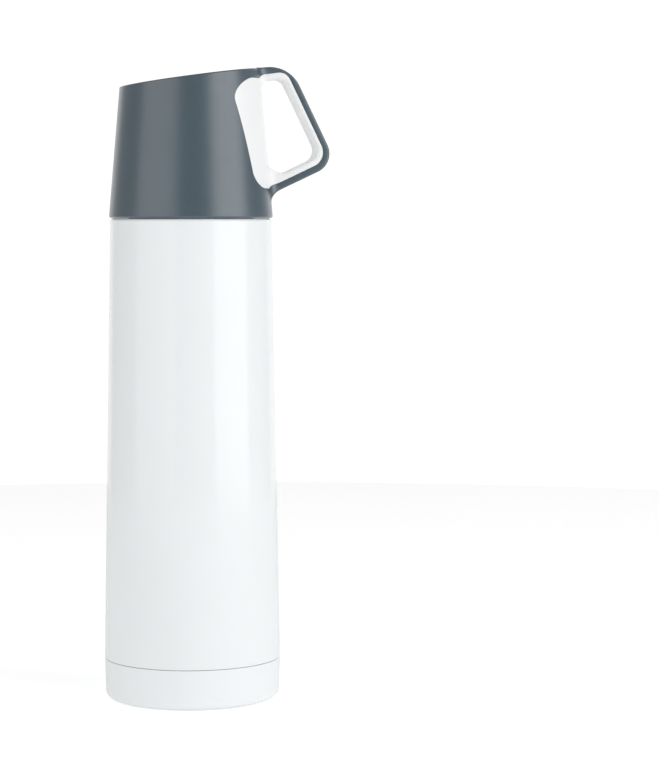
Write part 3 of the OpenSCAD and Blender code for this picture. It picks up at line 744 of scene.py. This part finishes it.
# A thread ridge: half its foot and crest as shares of the pitch, its crest's round, steps in a
# turn, steps that each end takes to run out, and the height it starts with
RIDGE_FOOT = 0.24
RIDGE_CREST = 0.11
RIDGE_ROUND = 0.35 * MM
RIDGE_STEPS = 120
RIDGE_RUN_OUT = 14
RIDGE_START = 0.1


def ridge_mesh(root, crest, lead, turns, height, pitch):
    """One ridge of a thread, with rounded flanks and run-outs at both ends."""
    steps = round(RIDGE_STEPS * turns)
    foot, flat, tip = RIDGE_FOOT * pitch, RIDGE_CREST * pitch, 1.0 * MM
    section = outline([
        (-foot, 0, 0), (-flat, tip, RIDGE_ROUND), (flat, tip, RIDGE_ROUND), (foot, 0, 0)], 4)
    top = max(p.y for p in section)
    points = []
    for i in range(steps + 1):
        ease = min(1, i / RIDGE_RUN_OUT, (steps - i) / RIDGE_RUN_OUT)
        tall = RIDGE_START + (1 - RIDGE_START) * math.sin(ease * math.pi / 2)
        angle = TURN * turns * i / steps
        for p in section:
            radius = root + (crest - root) * tall * p.y / top
            z = height + lead * turns * i / steps + p.x
            points.append((radius * math.cos(angle), radius * math.sin(angle), z))
    count = len(section)
    faces = [list(range(count)), [steps * count + k for k in range(count)]]
    for i in range(steps):
        for k in range(count):
            k2 = (k + 1) % count
            faces.append([i * count + k, i * count + k2, (i + 1) * count + k2, (i + 1) * count + k])
    return mesh_from("ridge", points, faces)


def body_shell(size):
    """The coated outer shell with its neck and thread."""
    t = size.wall
    seam_z = BASE_HIGH.z + size.seam_gap
    neck_top = SHELL_HIGH.z
    neck_fillet = 0.3 * MM
    sunk = 0.25 * MM
    shell = turned("shell", [
        (size.skirt_radius, SHELL_LOW.z, 0),
        (size.skirt_radius, seam_z, 0),
        (size.foot_radius, seam_z, size.seam_round),
        (size.shoulder_radius, size.shoulder_height, size.shoulder_round),
        (size.neck_radius, size.shoulder_height, neck_fillet),
        (size.neck_radius, neck_top, 0),
        (size.neck_radius - t, neck_top, 0),
        (size.neck_radius - t, size.shoulder_height - t, 0),
        (size.shoulder_radius - t, size.shoulder_height - t, size.shoulder_round - t),
        (size.foot_radius - t, seam_z + t, 0),
        (size.skirt_radius - t, seam_z + t, 0),
        (size.skirt_radius - t, SHELL_LOW.z, 0),
    ], arc_steps=10)
    ridge = new_object("ridge", ridge_mesh(
        size.neck_radius - sunk, size.neck_radius + size.thread_height,
        size.thread_pitch * size.thread_starts, size.thread_turns,
        size.shoulder_height + size.thread_rise, size.thread_pitch))
    grow(ridge, ring_tree(), FINISH["coated_steel"], Count=size.thread_starts)
    return combine(shell, ridge, "UNION")


def base_cap(size):
    """The base cap, with its rounded foot and the recess for the pad."""
    foot = size.foot_radius - size.base_draft
    bore = foot - size.base_wall
    play, edge, recess_edge, recess_root, fillet = (k * MM for k in (0.05, 0.2, 0.25, 0.15, 1))
    recess = foot - size.pad_margin + play
    floor = BASE_LOW.z + size.base_floor
    return turned("base", [
        (0, PAD_HIGH.z, 0),
        (recess, PAD_HIGH.z, recess_root),
        (recess, BASE_LOW.z, recess_edge),
        (foot, BASE_LOW.z, size.base_corner),
        (size.foot_radius, BASE_HIGH.z, size.seam_round),
        (bore, BASE_HIGH.z, edge),
        (bore, floor, fillet),
        (0, floor, 0),
    ], arc_steps=12)


def foot_pad(size):
    """The non-slip pad: a disc with rings and a band of short ribs under it."""
    edge = PAD_HIGH.x
    low = PAD_LOW.z
    back = low + 0.4 * MM
    soft = 0.15 * MM
    slant = 0.02 * edge
    hub_in, hub_out, rim_in = 0.24 * edge, 0.30 * edge, 0.86 * edge
    pad = turned("pad", [
        (0, back, 0),
        (hub_in - slant, back, soft), (hub_in, low, soft),
        (hub_out, low, soft), (hub_out + slant, back, soft),
        (rim_in - slant, back, soft), (rim_in, low, 0.2 * MM),
        (edge, low, 0.3 * MM), (edge, PAD_HIGH.z, 0.05 * MM), (0, PAD_HIGH.z, 0),
    ], arc_steps=4)
    half, sunk = 0.55 * MM, 0.1 * MM
    rib_in, rib_out = 0.40 * edge, 0.76 * edge
    rib_round = 0.9 * half
    rib = prism("rib", outline([
        (rib_in, -half, rib_round), (rib_out, -half, rib_round),
        (rib_out, half, rib_round), (rib_in, half, rib_round)], 4), low, back + sunk, 2)
    grow(rib, ring_tree(), FINISH["dark_rubber"], Count=size.pad_ribs)
    return combine(pad, rib, "UNION")


# ---- Cup and handle ----

# How far the cutting solid stands proud of the wall, so that no skin is left on it
FLUSH = 0.02 * MM
# Where the panel's solid starts, out from the axis, and how far it runs past the rim's radius
PANEL_START = 8 * MM
PANEL_PAST = 8 * MM
# How deep the ends of the band and its lining start in the cup's wall
BAND_ROOT = -1 * MM
LINING_ROOT = -0.6 * MM
# Steps of a bend's arc, of a root's fillet and of a leg, and a length past any fillet's end
BEND_STEPS = 16
FILLET_STEPS = 48
LEG_STEPS = 20
FAR = 30 * MM
# Share of the root's fillet over which the handle's edge takes the wall's curve
WRAP_SHARE = 0.75


def wall_x(cup, z):
    """Radius of the cup's side at a height."""
    return cup.rim_radius - (z - cup.rim_height) * math.tan(cup.draft)


def cup_profile(cup, inset, drop, low, high_round):
    """Outline of a solid cup at an angle, set in by inset at its side and by drop at its top."""
    t = math.tan(cup.draft)
    rim = wall_x(cup, low) - inset
    top = cup.top_height - drop / math.cos(cup.top_slope)

    def at(angle):
        k = math.cos(angle) * math.tan(cup.top_slope)
        edge = (rim - (top - low) * t) / (1 + k * t)
        return [(rim, low), (edge, top + edge * k, high_round), (0, top)]

    return at


def cup_solid(name, cup, inset, drop, low, high_round):
    """The cup's cone under its slanted top, as a solid."""
    at = cup_profile(cup, inset, drop, low, high_round)

    def profile(angle):
        rim, edge, top = at(angle)
        return open_outline([(0, low, 0), (*rim, 0), edge, (*top, 0)], 6)

    return lathe(name, profile)


def cup_cover(name, cup):
    """The cup's outer shell, open below, with rounded rim and top edge."""
    low = cup.rim_height - cup.rim_drop
    outer = cup_profile(cup, 0, 0, low, cup.top_round)
    inner = cup_profile(cup, cup.wall, cup.top_wall, low, 1 * MM)

    def profile(angle):
        rim, edge, top = outer(angle)
        rim_in, edge_in, top_in = inner(angle)
        return open_outline([
            (*top_in, 0), edge_in, (*rim_in, 0.25 * MM), (*rim, cup.rim_round), edge, (*top, 0)], 8)

    return lathe(name, profile)


def panel_prism(name, cup, gap):
    """A solid with the light panel's outline, set in by a gap, that runs along the handle."""
    low = cup.rim_height + cup.panel_low + gap
    high = cup.top_height - cup.panel_top - gap
    points = outline([
        (-cup.panel_half_low + gap, low, cup.panel_round_low),
        (cup.panel_half_low - gap, low, cup.panel_round_low),
        (cup.panel_half_top - gap, high, cup.panel_round_top),
        (-cup.panel_half_top + gap, high, cup.panel_round_top)], 20)
    return prism(name, points, PANEL_START, cup.rim_radius + PANEL_PAST, 0)


class Loop:
    """The handle's lines in its own plane: a top leg, a leaning grip and a lower leg."""

    def __init__(self, cup, handle):
        self.cup, self.handle = cup, handle
        self.top_dir = Vector((math.cos(cup.top_slope), math.sin(cup.top_slope)))
        self.grip_dir = Vector((math.sin(handle.grip_lean), -math.cos(handle.grip_lean)))
        self.leg_dir = Vector((math.cos(handle.leg_rise), math.sin(handle.leg_rise)))
        self.wall_dir = Vector((-math.sin(cup.draft), math.cos(cup.draft)))
        self.wall_point = Vector((cup.rim_radius, cup.rim_height))
        self.low_corner = self.wall_point + Vector((handle.corner_out, handle.corner_rise))

    def lines(self, grip, leg):
        """Points on the top, grip and leg lines, set in by grip and leg."""
        top = Vector((0, self.cup.top_height)) - left_of(self.top_dir) * leg
        side = self.low_corner - left_of(self.grip_dir) * grip
        low = self.low_corner + left_of(self.leg_dir) * leg
        return top, side, low

    def bends(self, grip, leg, top_round, low_round):
        """The two outer corners as arcs, from the top leg to the lower leg."""
        top, side, low = self.lines(grip, leg)
        high = meet(top, self.top_dir, side, self.grip_dir)
        bottom = meet(low, self.leg_dir, side, self.grip_dir)
        return (corner(high - self.top_dir, high, bottom, top_round, BEND_STEPS)
                + corner(high, bottom, bottom - self.leg_dir, low_round, BEND_STEPS))

    def leg(self, point, direction, web, below):
        """A leg's edge as a function of its distance out from the cup's wall. web is the radius of
        the fillet at the wall, or zero; below is True where that fillet lies under the leg."""
        crossing = meet(point, direction, self.wall_point, self.wall_dir)
        wall_end = crossing + self.wall_dir * (-FAR if below else FAR)
        leg_end = crossing + direction * FAR
        arc = corner(wall_end, crossing, leg_end, web, FILLET_STEPS) if web else []
        samples = [(p.x - wall_x(self.cup, p.y), p) for p in arc]

        def edge(gap):
            if samples and gap < samples[-1][0]:
                if gap <= samples[0][0]:
                    return samples[0][1] + Vector((gap, 0))
                for (g0, p0), (g1, p1) in zip(samples, samples[1:]):
                    if g0 <= gap <= g1:
                        return p0.lerp(p1, (gap - g0) / max(g1 - g0, 1e-12))
            moved = self.wall_point + Vector((gap, 0))
            return meet(point, direction, moved, self.wall_dir)

        return edge


def wrapped(handle, radius, gap, y):
    """How far a point at side y moves back, so that the handle's root follows the round wall."""
    fade = min(1, max(0, 1 - gap / (WRAP_SHARE * handle.root_round)))
    return fade * (radius - math.sqrt(radius ** 2 - y ** 2))


def flare_width(handle, radius, gap):
    """Half the handle's width at a gap from the cup's wall: its sides run into the wall in arcs."""
    half, fillet = handle.width / 2, handle.root_round
    centre_y = half + fillet
    centre_x = math.sqrt((radius + fillet) ** 2 - centre_y ** 2)
    touch = radius / (radius + fillet) * centre_y
    if gap <= 0:
        return touch
    low, high = half, touch
    for _ in range(30):
        y = (low + high) / 2
        x = centre_x - math.sqrt(max(0, fillet ** 2 - (centre_y - y) ** 2))
        if x > radius + gap - wrapped(handle, radius, gap, y):
            low = y
        else:
            high = y
    return (low + high) / 2


def band_section(outer_edge, inner_edge, steps=5, across=8):
    """Cross-section of a band as (side the depth is measured from, depth, inset, side, share)."""
    def arc(side, start, radius):
        found = []
        for i in range(steps + 1):
            a = math.pi / 2 * i / steps
            found.append((start, radius * (1 - math.cos(a)), radius * (1 - math.sin(a)), side, None))
        return found

    flat = [1 - 2 * i / across for i in range(1, across)]
    section = [("outer", 0, outer_edge, 0, f) for f in flat]
    section += arc(-1, "outer", outer_edge)
    section += arc(-1, "inner", inner_edge)[::-1]
    section += [("inner", 0, inner_edge, 0, -f) for f in flat]
    section += arc(1, "inner", inner_edge)
    section += arc(1, "outer", outer_edge)[::-1]
    return section


def loop_mesh(name, loop, outer, inner, edges, root):
    """A handle band between two sets of edges. outer and inner hold (top leg, bends, lower leg);
    the legs are functions of the gap from the cup's wall, and start root deep in it."""
    cup, handle = loop.cup, loop.handle
    section = band_section(*edges)
    count = len(section)

    def leg_points(edge, bend_end):
        end = bend_end.x - wall_x(cup, bend_end.y)
        return [edge(root)] + [edge(end * (i / LEG_STEPS) ** 2) for i in range(LEG_STEPS)]

    lines = []
    for top_leg, bends, low_leg in (outer, inner):
        lines.append(leg_points(top_leg, bends[0]) + bends + leg_points(low_leg, bends[-1])[::-1])
    points = []
    for out, into in zip(*lines):
        across = (into - out).normalized()
        for start, depth, inset, side, share in section:
            spot = out + across * depth if start == "outer" else into - across * depth
            radius = wall_x(cup, spot.y)
            gap = spot.x - radius
            half = flare_width(handle, radius, gap)
            y = share * (half - inset) if share is not None else side * (half - inset)
            points.append((spot.x - wrapped(handle, radius, gap, y), y, spot.y))
    rings = [range(i, i + count) for i in range(0, len(points), count)]
    faces = []
    for here, there in zip(rings, rings[1:]):
        for k in range(count):
            k2 = (k + 1) % count
            faces.append([here[k], here[k2], there[k2], there[k]])
    for ring in (rings[0], rings[-1]):
        points.append(sum((Vector(points[i]) for i in ring), Vector()) / count)
        faces += [[ring[k], ring[(k + 1) % count], len(points) - 1] for k in range(count)]
    return new_object(name, mesh_from(name, points, faces))


def outer_band(cup, handle):
    """The handle's grey outer band."""
    loop = Loop(cup, handle)
    grip, leg = handle.grip_wall, handle.leg_wall
    top, _, low = loop.lines(0, 0)
    top_in, _, low_in = loop.lines(grip, leg)
    top = top - left_of(loop.top_dir) * FLUSH
    outer = (
        loop.leg(top, loop.top_dir, 0, False),
        loop.bends(0, 0, handle.band_bend_top, handle.band_bend_low),
        loop.leg(low, loop.leg_dir, handle.web_round, True))
    inner = (
        loop.leg(top_in, loop.top_dir, handle.top_dip, True),
        loop.bends(grip, leg, handle.joint_bend_top, handle.joint_bend_low),
        loop.leg(low_in, loop.leg_dir, handle.low_dip, True))
    return loop_mesh("band", loop, outer, inner, (handle.band_edge, handle.joint_edge), BAND_ROOT)


def light_lining(cup, handle):
    """The light lining inside the band."""
    loop = Loop(cup, handle)
    gap = handle.lining_gap
    grip, leg = handle.grip_wall + gap, handle.leg_wall + gap
    grip_in, leg_in = handle.grip_wall + handle.grip_lining, handle.leg_wall + handle.leg_lining
    top, _, low = loop.lines(grip, leg)
    top_in, _, low_in = loop.lines(grip_in, leg_in)
    outer = (
        loop.leg(top, loop.top_dir, handle.top_dip, True),
        loop.bends(grip, leg, handle.joint_bend_top, handle.joint_bend_low),
        loop.leg(low, loop.leg_dir, handle.low_dip, True))
    inner = (
        loop.leg(top_in, loop.top_dir, handle.hole_root_top, True),
        loop.bends(grip_in, leg_in, handle.hole_bend_top, handle.hole_bend_low),
        loop.leg(low_in, loop.leg_dir, handle.hole_root_low, False))
    return loop_mesh("lining", loop, outer, inner, (handle.joint_edge, handle.hole_edge), LINING_ROOT)


def cup_shell(cup, handle):
    """The grey cup with its slanted top and the handle's outer band, open where the panel is."""
    cover = combine(cup_cover("cover", cup), outer_band(cup, handle), "UNION")
    plug = cup_solid("plug", cup, -FLUSH, 0, cup.rim_height + 2 * MM, 0)
    combine(plug, panel_prism("window", cup, 0), "INTERSECT")
    return combine(cover, plug, "DIFFERENCE")


def handle_inlay(cup, handle):
    """The light panel in the cup's side and the lining of the loop, one moulding."""
    panel = cup_cover("panel", cup)
    combine(panel, panel_prism("window", cup, cup.panel_gap), "INTERSECT")
    return combine(panel, light_lining(cup, handle), "UNION")


# ---- Stopper ----

FLUTE_STEPS = 16
SLOT_STEPS = 16


def grip_ring(size):
    """The stopper's grip ring: scalloped round its edge, with pouring slots and a spigot."""
    low, high = STOPPER_HIGH.z, GRIP_HIGH.z

    def profile(angle):
        wave = math.cos(angle * size.flutes)
        edge = size.ring_radius - size.flute_depth * max(0, wave) ** 1.5
        return outline([
            (size.ring_bore, low, 0), (size.spigot_inner, low, 0),
            (size.spigot_inner, GRIP_LOW.z, 0.3 * MM), (size.spigot_outer, GRIP_LOW.z, 0.3 * MM),
            (size.spigot_outer, low, 0), (edge, low, 0.15 * MM), (edge, high, 1.2 * MM),
            (size.ring_bore, high, 0.5 * MM)], 6)

    ring = lathe("ring", profile, size.flutes * FLUTE_STEPS)
    sweep = size.slot_sweep / 2
    angles = [-sweep + size.slot_sweep * i / SLOT_STEPS for i in range(SLOT_STEPS + 1)]
    arc = [Vector((math.cos(a), math.sin(a))) for a in angles]
    past = 1 * MM
    slot = prism("slot", [p * size.slot_outer for p in arc] + [p * size.slot_inner for p in arc[::-1]],
                 GRIP_LOW.z - past, high + past, 2)
    grow(slot, ring_tree(), FINISH["grey_plastic"], Count=size.slots, Phase=0.5)
    return combine(ring, slot, "DIFFERENCE")


def pour_button(size):
    """The pour button with its finger dish, its skirt and the groove for the wiper ring."""
    low, high = BUTTON_LOW.z, BUTTON_HIGH.z
    r, wall, roof = size.button_radius, 1.2 * MM, 1.6 * MM
    boss, flange, groove = 3.5 * MM, BUTTON_HIGH.x, 0.6 * MM
    flange_top = STOPPER_HIGH.z - 0.3 * MM
    return turned("button", [
        (0, size.stem_top, 0), (size.stem_radius, size.stem_top, 0),
        (size.stem_radius, low + 1 * MM, 0), (boss, low + 1 * MM, 0.3 * MM),
        (boss, high - roof, 0.2 * MM), (r - wall, high - roof, 0.5 * MM), (r - wall, low, 0),
        (flange, low, 0.2 * MM), (flange, flange_top, 0.1 * MM), (r, flange_top, 0),
        (r, size.groove_low, 0), (r - groove, size.groove_low, 0), (r - groove, size.groove_high, 0),
        (r, size.groove_high, 0.1 * MM), (r, high, 1.2 * MM),
        (size.dish_radius + 0.5 * MM, high, 1.5 * MM),
        (size.dish_radius - 3.2 * MM, high - size.dish_depth, 6 * MM),
        (0, high - size.dish_depth, 0)], arc_steps=8)


def button_spring(size):
    """The coil spring that closes the valve."""
    spring = new_object("spring", bpy.data.meshes.new("spring"))
    middle = SPRING_HIGH.x - size.wire / 2
    return grow(spring, coil_tree(), FINISH["spring_steel"], Turns=size.coil_turns, Radius=middle,
                Wire=size.wire, Height=SPRING_HIGH.z - SPRING_LOW.z, Base=SPRING_LOW.z)


# ---- Stage ----

MIDDLE = Vector((0, 0, 0.13))
BOX_RISE = 0.1


def soft_box(name, stage, angle, width, radiance):
    """A soft box that faces the flask; its brightness is the light it shows, not its power."""
    towards = math.radians(-90) + stage.turn + angle
    direction = Vector((math.cos(towards), math.sin(towards), BOX_RISE))
    light = bpy.data.lights.new(name, "AREA")
    light.shape = "RECTANGLE"
    light.size, light.size_y = width, stage.box_height
    light.energy = radiance * width * stage.box_height * math.pi
    lamp = new_object(name, light)
    lamp.location = MIDDLE + direction.normalized() * stage.box_distance
    lamp.rotation_mode = "QUATERNION"
    lamp.rotation_quaternion = (-direction).to_track_quat("-Z", "Y")
    lamp.visible_camera = False


# The wall behind brightens between these shares of the way from the side to straight behind
FADE_START = 0.66
FADE_END = 0.82


def studio_world(stage):
    """White walls: pure white where the camera sees them. As light on the flask they are dim at
    the sides, and bright only behind it."""
    world = bpy.data.worlds.new("studio")
    world.use_nodes = True
    tree = world.node_tree
    tree.nodes.clear()
    away = node_at(tree, "ShaderNodeVectorMath")
    away.operation = "DOT_PRODUCT"
    away.inputs[1].default_value = (-math.sin(stage.turn), math.cos(stage.turn), 0)
    tree.links.new(tree.nodes.new("ShaderNodeTexCoord").outputs["Generated"], away.inputs[0])
    fade = node_at(tree, "ShaderNodeMapRange", From_Min=FADE_START, From_Max=FADE_END)
    fade.inputs["To Min"].default_value = stage.surround
    fade.inputs["To Max"].default_value = stage.backdrop
    tree.links.new(away.outputs["Value"], fade.inputs["Value"])
    path = tree.nodes.new("ShaderNodeLightPath")
    seen = node_at(tree, "ShaderNodeBackground", Color=(1, 1, 1, 1), Strength=1.05)
    felt = node_at(tree, "ShaderNodeBackground", Color=(1, 1, 1, 1))
    tree.links.new(fade.outputs["Result"], felt.inputs["Strength"])
    mix = tree.nodes.new("ShaderNodeMixShader")
    out = tree.nodes.new("ShaderNodeOutputWorld")
    tree.links.new(path.outputs["Is Camera Ray"], mix.inputs[0])
    tree.links.new(felt.outputs[0], mix.inputs[1])
    tree.links.new(seen.outputs[0], mix.inputs[2])
    tree.links.new(mix.outputs[0], out.inputs["Surface"])
    return world


FLOOR_STEPS = 96


def pale_floor(radius, glow):
    """A round pale floor that glows a little, more so to the camera, so that it stays white."""
    angles = [TURN * i / FLOOR_STEPS for i in range(FLOOR_STEPS)]
    points = [(radius * math.cos(a), radius * math.sin(a), 0) for a in angles]
    mesh = bpy.data.meshes.new("floor")
    mesh.from_pydata(points, [], [list(range(FLOOR_STEPS))])
    floor = new_object("floor", mesh)
    s = Surface("pale_floor", 0.8, Specular_IOR_Level=0.1)
    s.shader.inputs["Emission Color"].default_value = (1, 1, 1, 1)
    seen = s.tree.nodes.new("ShaderNodeLightPath").outputs["Is Camera Ray"]
    share = maths(s.tree, "ADD", 0.5 * glow, maths(s.tree, "MULTIPLY", 0.5 * glow, seen))
    s.link(share, s.shader.inputs["Emission Strength"])
    s.colours(s.noise(4, 2), (0.9, 0.9, 0.9), 0.01)
    mesh.materials.append(s.material)


def camera(stage):
    """The camera, a little to the handle's side and above the middle."""
    data = bpy.data.cameras.new("camera")
    data.lens = stage.lens
    data.sensor_width = 36
    eye = new_object("camera", data)
    a = stage.turn
    spot = Vector((stage.aside, -stage.distance))
    eye.location = (spot.x * math.cos(a) - spot.y * math.sin(a),
                    spot.x * math.sin(a) + spot.y * math.cos(a), stage.height)
    level = math.cos(stage.dip)
    look = Vector((-math.sin(a) * level, math.cos(a) * level, -math.sin(stage.dip)))
    eye.rotation_mode = "QUATERNION"
    eye.rotation_quaternion = look.to_track_quat("-Z", "Y")
    bpy.context.scene.camera = eye


# ---- Operators ----

def settings():
    """The scene's settings of the flask."""
    return bpy.context.scene.flask


class FLASK_OT_finishes(bpy.types.Operator):
    """Makes the materials and gives the carried-over parts theirs"""
    bl_idname = "flask.finishes"
    bl_label = "Finishes"

    def execute(self, context):
        make_finishes(settings().finishes)
        for row in frame["record"]["subparts"]:
            slots = frame["nodes"][row["node"]].data.materials
            slots.clear()
            slots.append(FINISH[row["material_slot"]])
        return {"FINISHED"}


class FLASK_OT_body(bpy.types.Operator):
    """Builds the coated shell with its neck thread"""
    bl_idname = "flask.body"
    bl_label = "Body shell"

    def execute(self, context):
        shell = body_shell(settings().body)
        finish_piece(shell, "body_shell", "flask", "outer_shell", "coated_steel")
        return {"FINISHED"}


class FLASK_OT_base(bpy.types.Operator):
    """Builds the base cap and the non-slip pad"""
    bl_idname = "flask.base"
    bl_label = "Base and pad"

    def execute(self, context):
        size = settings().body
        finish_piece(base_cap(size), "foot_cap", "flask", "base_cap", "white_cap")
        finish_piece(foot_pad(size), "foot_pad", "flask", "base_pad", "dark_rubber")
        return {"FINISHED"}


class FLASK_OT_cup(bpy.types.Operator):
    """Builds the cup with its slanted top and the handle's outer band"""
    bl_idname = "flask.cup"
    bl_label = "Cup and band"

    def execute(self, context):
        shell = cup_shell(settings().cup, settings().handle)
        finish_piece(shell, "cup_cover", "cup", "cup_shell", "grey_plastic")
        return {"FINISHED"}


class FLASK_OT_inlay(bpy.types.Operator):
    """Builds the light panel and the lining of the handle"""
    bl_idname = "flask.inlay"
    bl_label = "Panel and lining"

    def execute(self, context):
        inlay = handle_inlay(settings().cup, settings().handle)
        finish_piece(inlay, "light_inlay", "cup", "handle_inlay", "white_plastic")
        return {"FINISHED"}


class FLASK_OT_stopper(bpy.types.Operator):
    """Builds the stopper's grip ring, the pour button and its spring"""
    bl_idname = "flask.stopper"
    bl_label = "Stopper top and spring"

    def execute(self, context):
        size = settings().stopper
        finish_piece(grip_ring(size), "finger_ring", "stopper", "grip_ring", "grey_plastic")
        finish_piece(pour_button(size), "push_button", "button", "pour_button", "white_plastic")
        spring = button_spring(size)
        finish_piece(spring, "valve_spring", "stopper", "button_spring", "spring_steel")
        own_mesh(spring)
        return {"FINISHED"}


class FLASK_OT_stage(bpy.types.Operator):
    """Sets up the floor, the studio light and the camera"""
    bl_idname = "flask.stage"
    bl_label = "Stage"

    def execute(self, context):
        stage = settings().stage
        scene = context.scene
        scene.view_settings.view_transform = "Standard"
        scene.world = studio_world(stage)
        pale_floor(stage.floor_radius, stage.floor_glow)
        soft_box("left_box", stage, stage.left_angle, stage.left_width, stage.left_box)
        soft_box("right_box", stage, stage.right_angle, stage.right_width, stage.right_box)
        camera(stage)
        return {"FINISHED"}


STEPS = (
    FLASK_OT_finishes,
    FLASK_OT_body,
    FLASK_OT_base,
    FLASK_OT_cup,
    FLASK_OT_inlay,
    FLASK_OT_stopper,
    FLASK_OT_stage,
)


class FLASK_PT_panel(bpy.types.Panel):
    """Lists the flask's pieces"""
    bl_idname = "FLASK_PT_panel"
    bl_label = "Vacuum flask"
    bl_space_type = "VIEW_3D"
    bl_region_type = "UI"
    bl_category = "Flask"

    def draw(self, context):
        for step in STEPS:
            self.layout.operator(step.bl_idname)


CLASSES = (
    FlaskBodySizes,
    FlaskCupSizes,
    FlaskHandleSizes,
    FlaskStopperSizes,
    FlaskFinishes,
    FlaskStage,
    FlaskSettings,
    *STEPS,
    FLASK_PT_panel,
)


def register():
    """Registers the classes and puts the settings on the scene."""
    for item in CLASSES:
        bpy.utils.register_class(item)
    bpy.types.Scene.flask = PointerProperty(type=FlaskSettings)


def unregister():
    """Takes them off again."""
    del bpy.types.Scene.flask
    for item in reversed(CLASSES):
        bpy.utils.unregister_class(item)


def main():
    """Builds the flask step by step."""
    register()
    for step in STEPS:
        group, name = step.bl_idname.split(".")
        getattr(getattr(bpy.ops, group), name)()


if __name__ == "__main__":
    main()
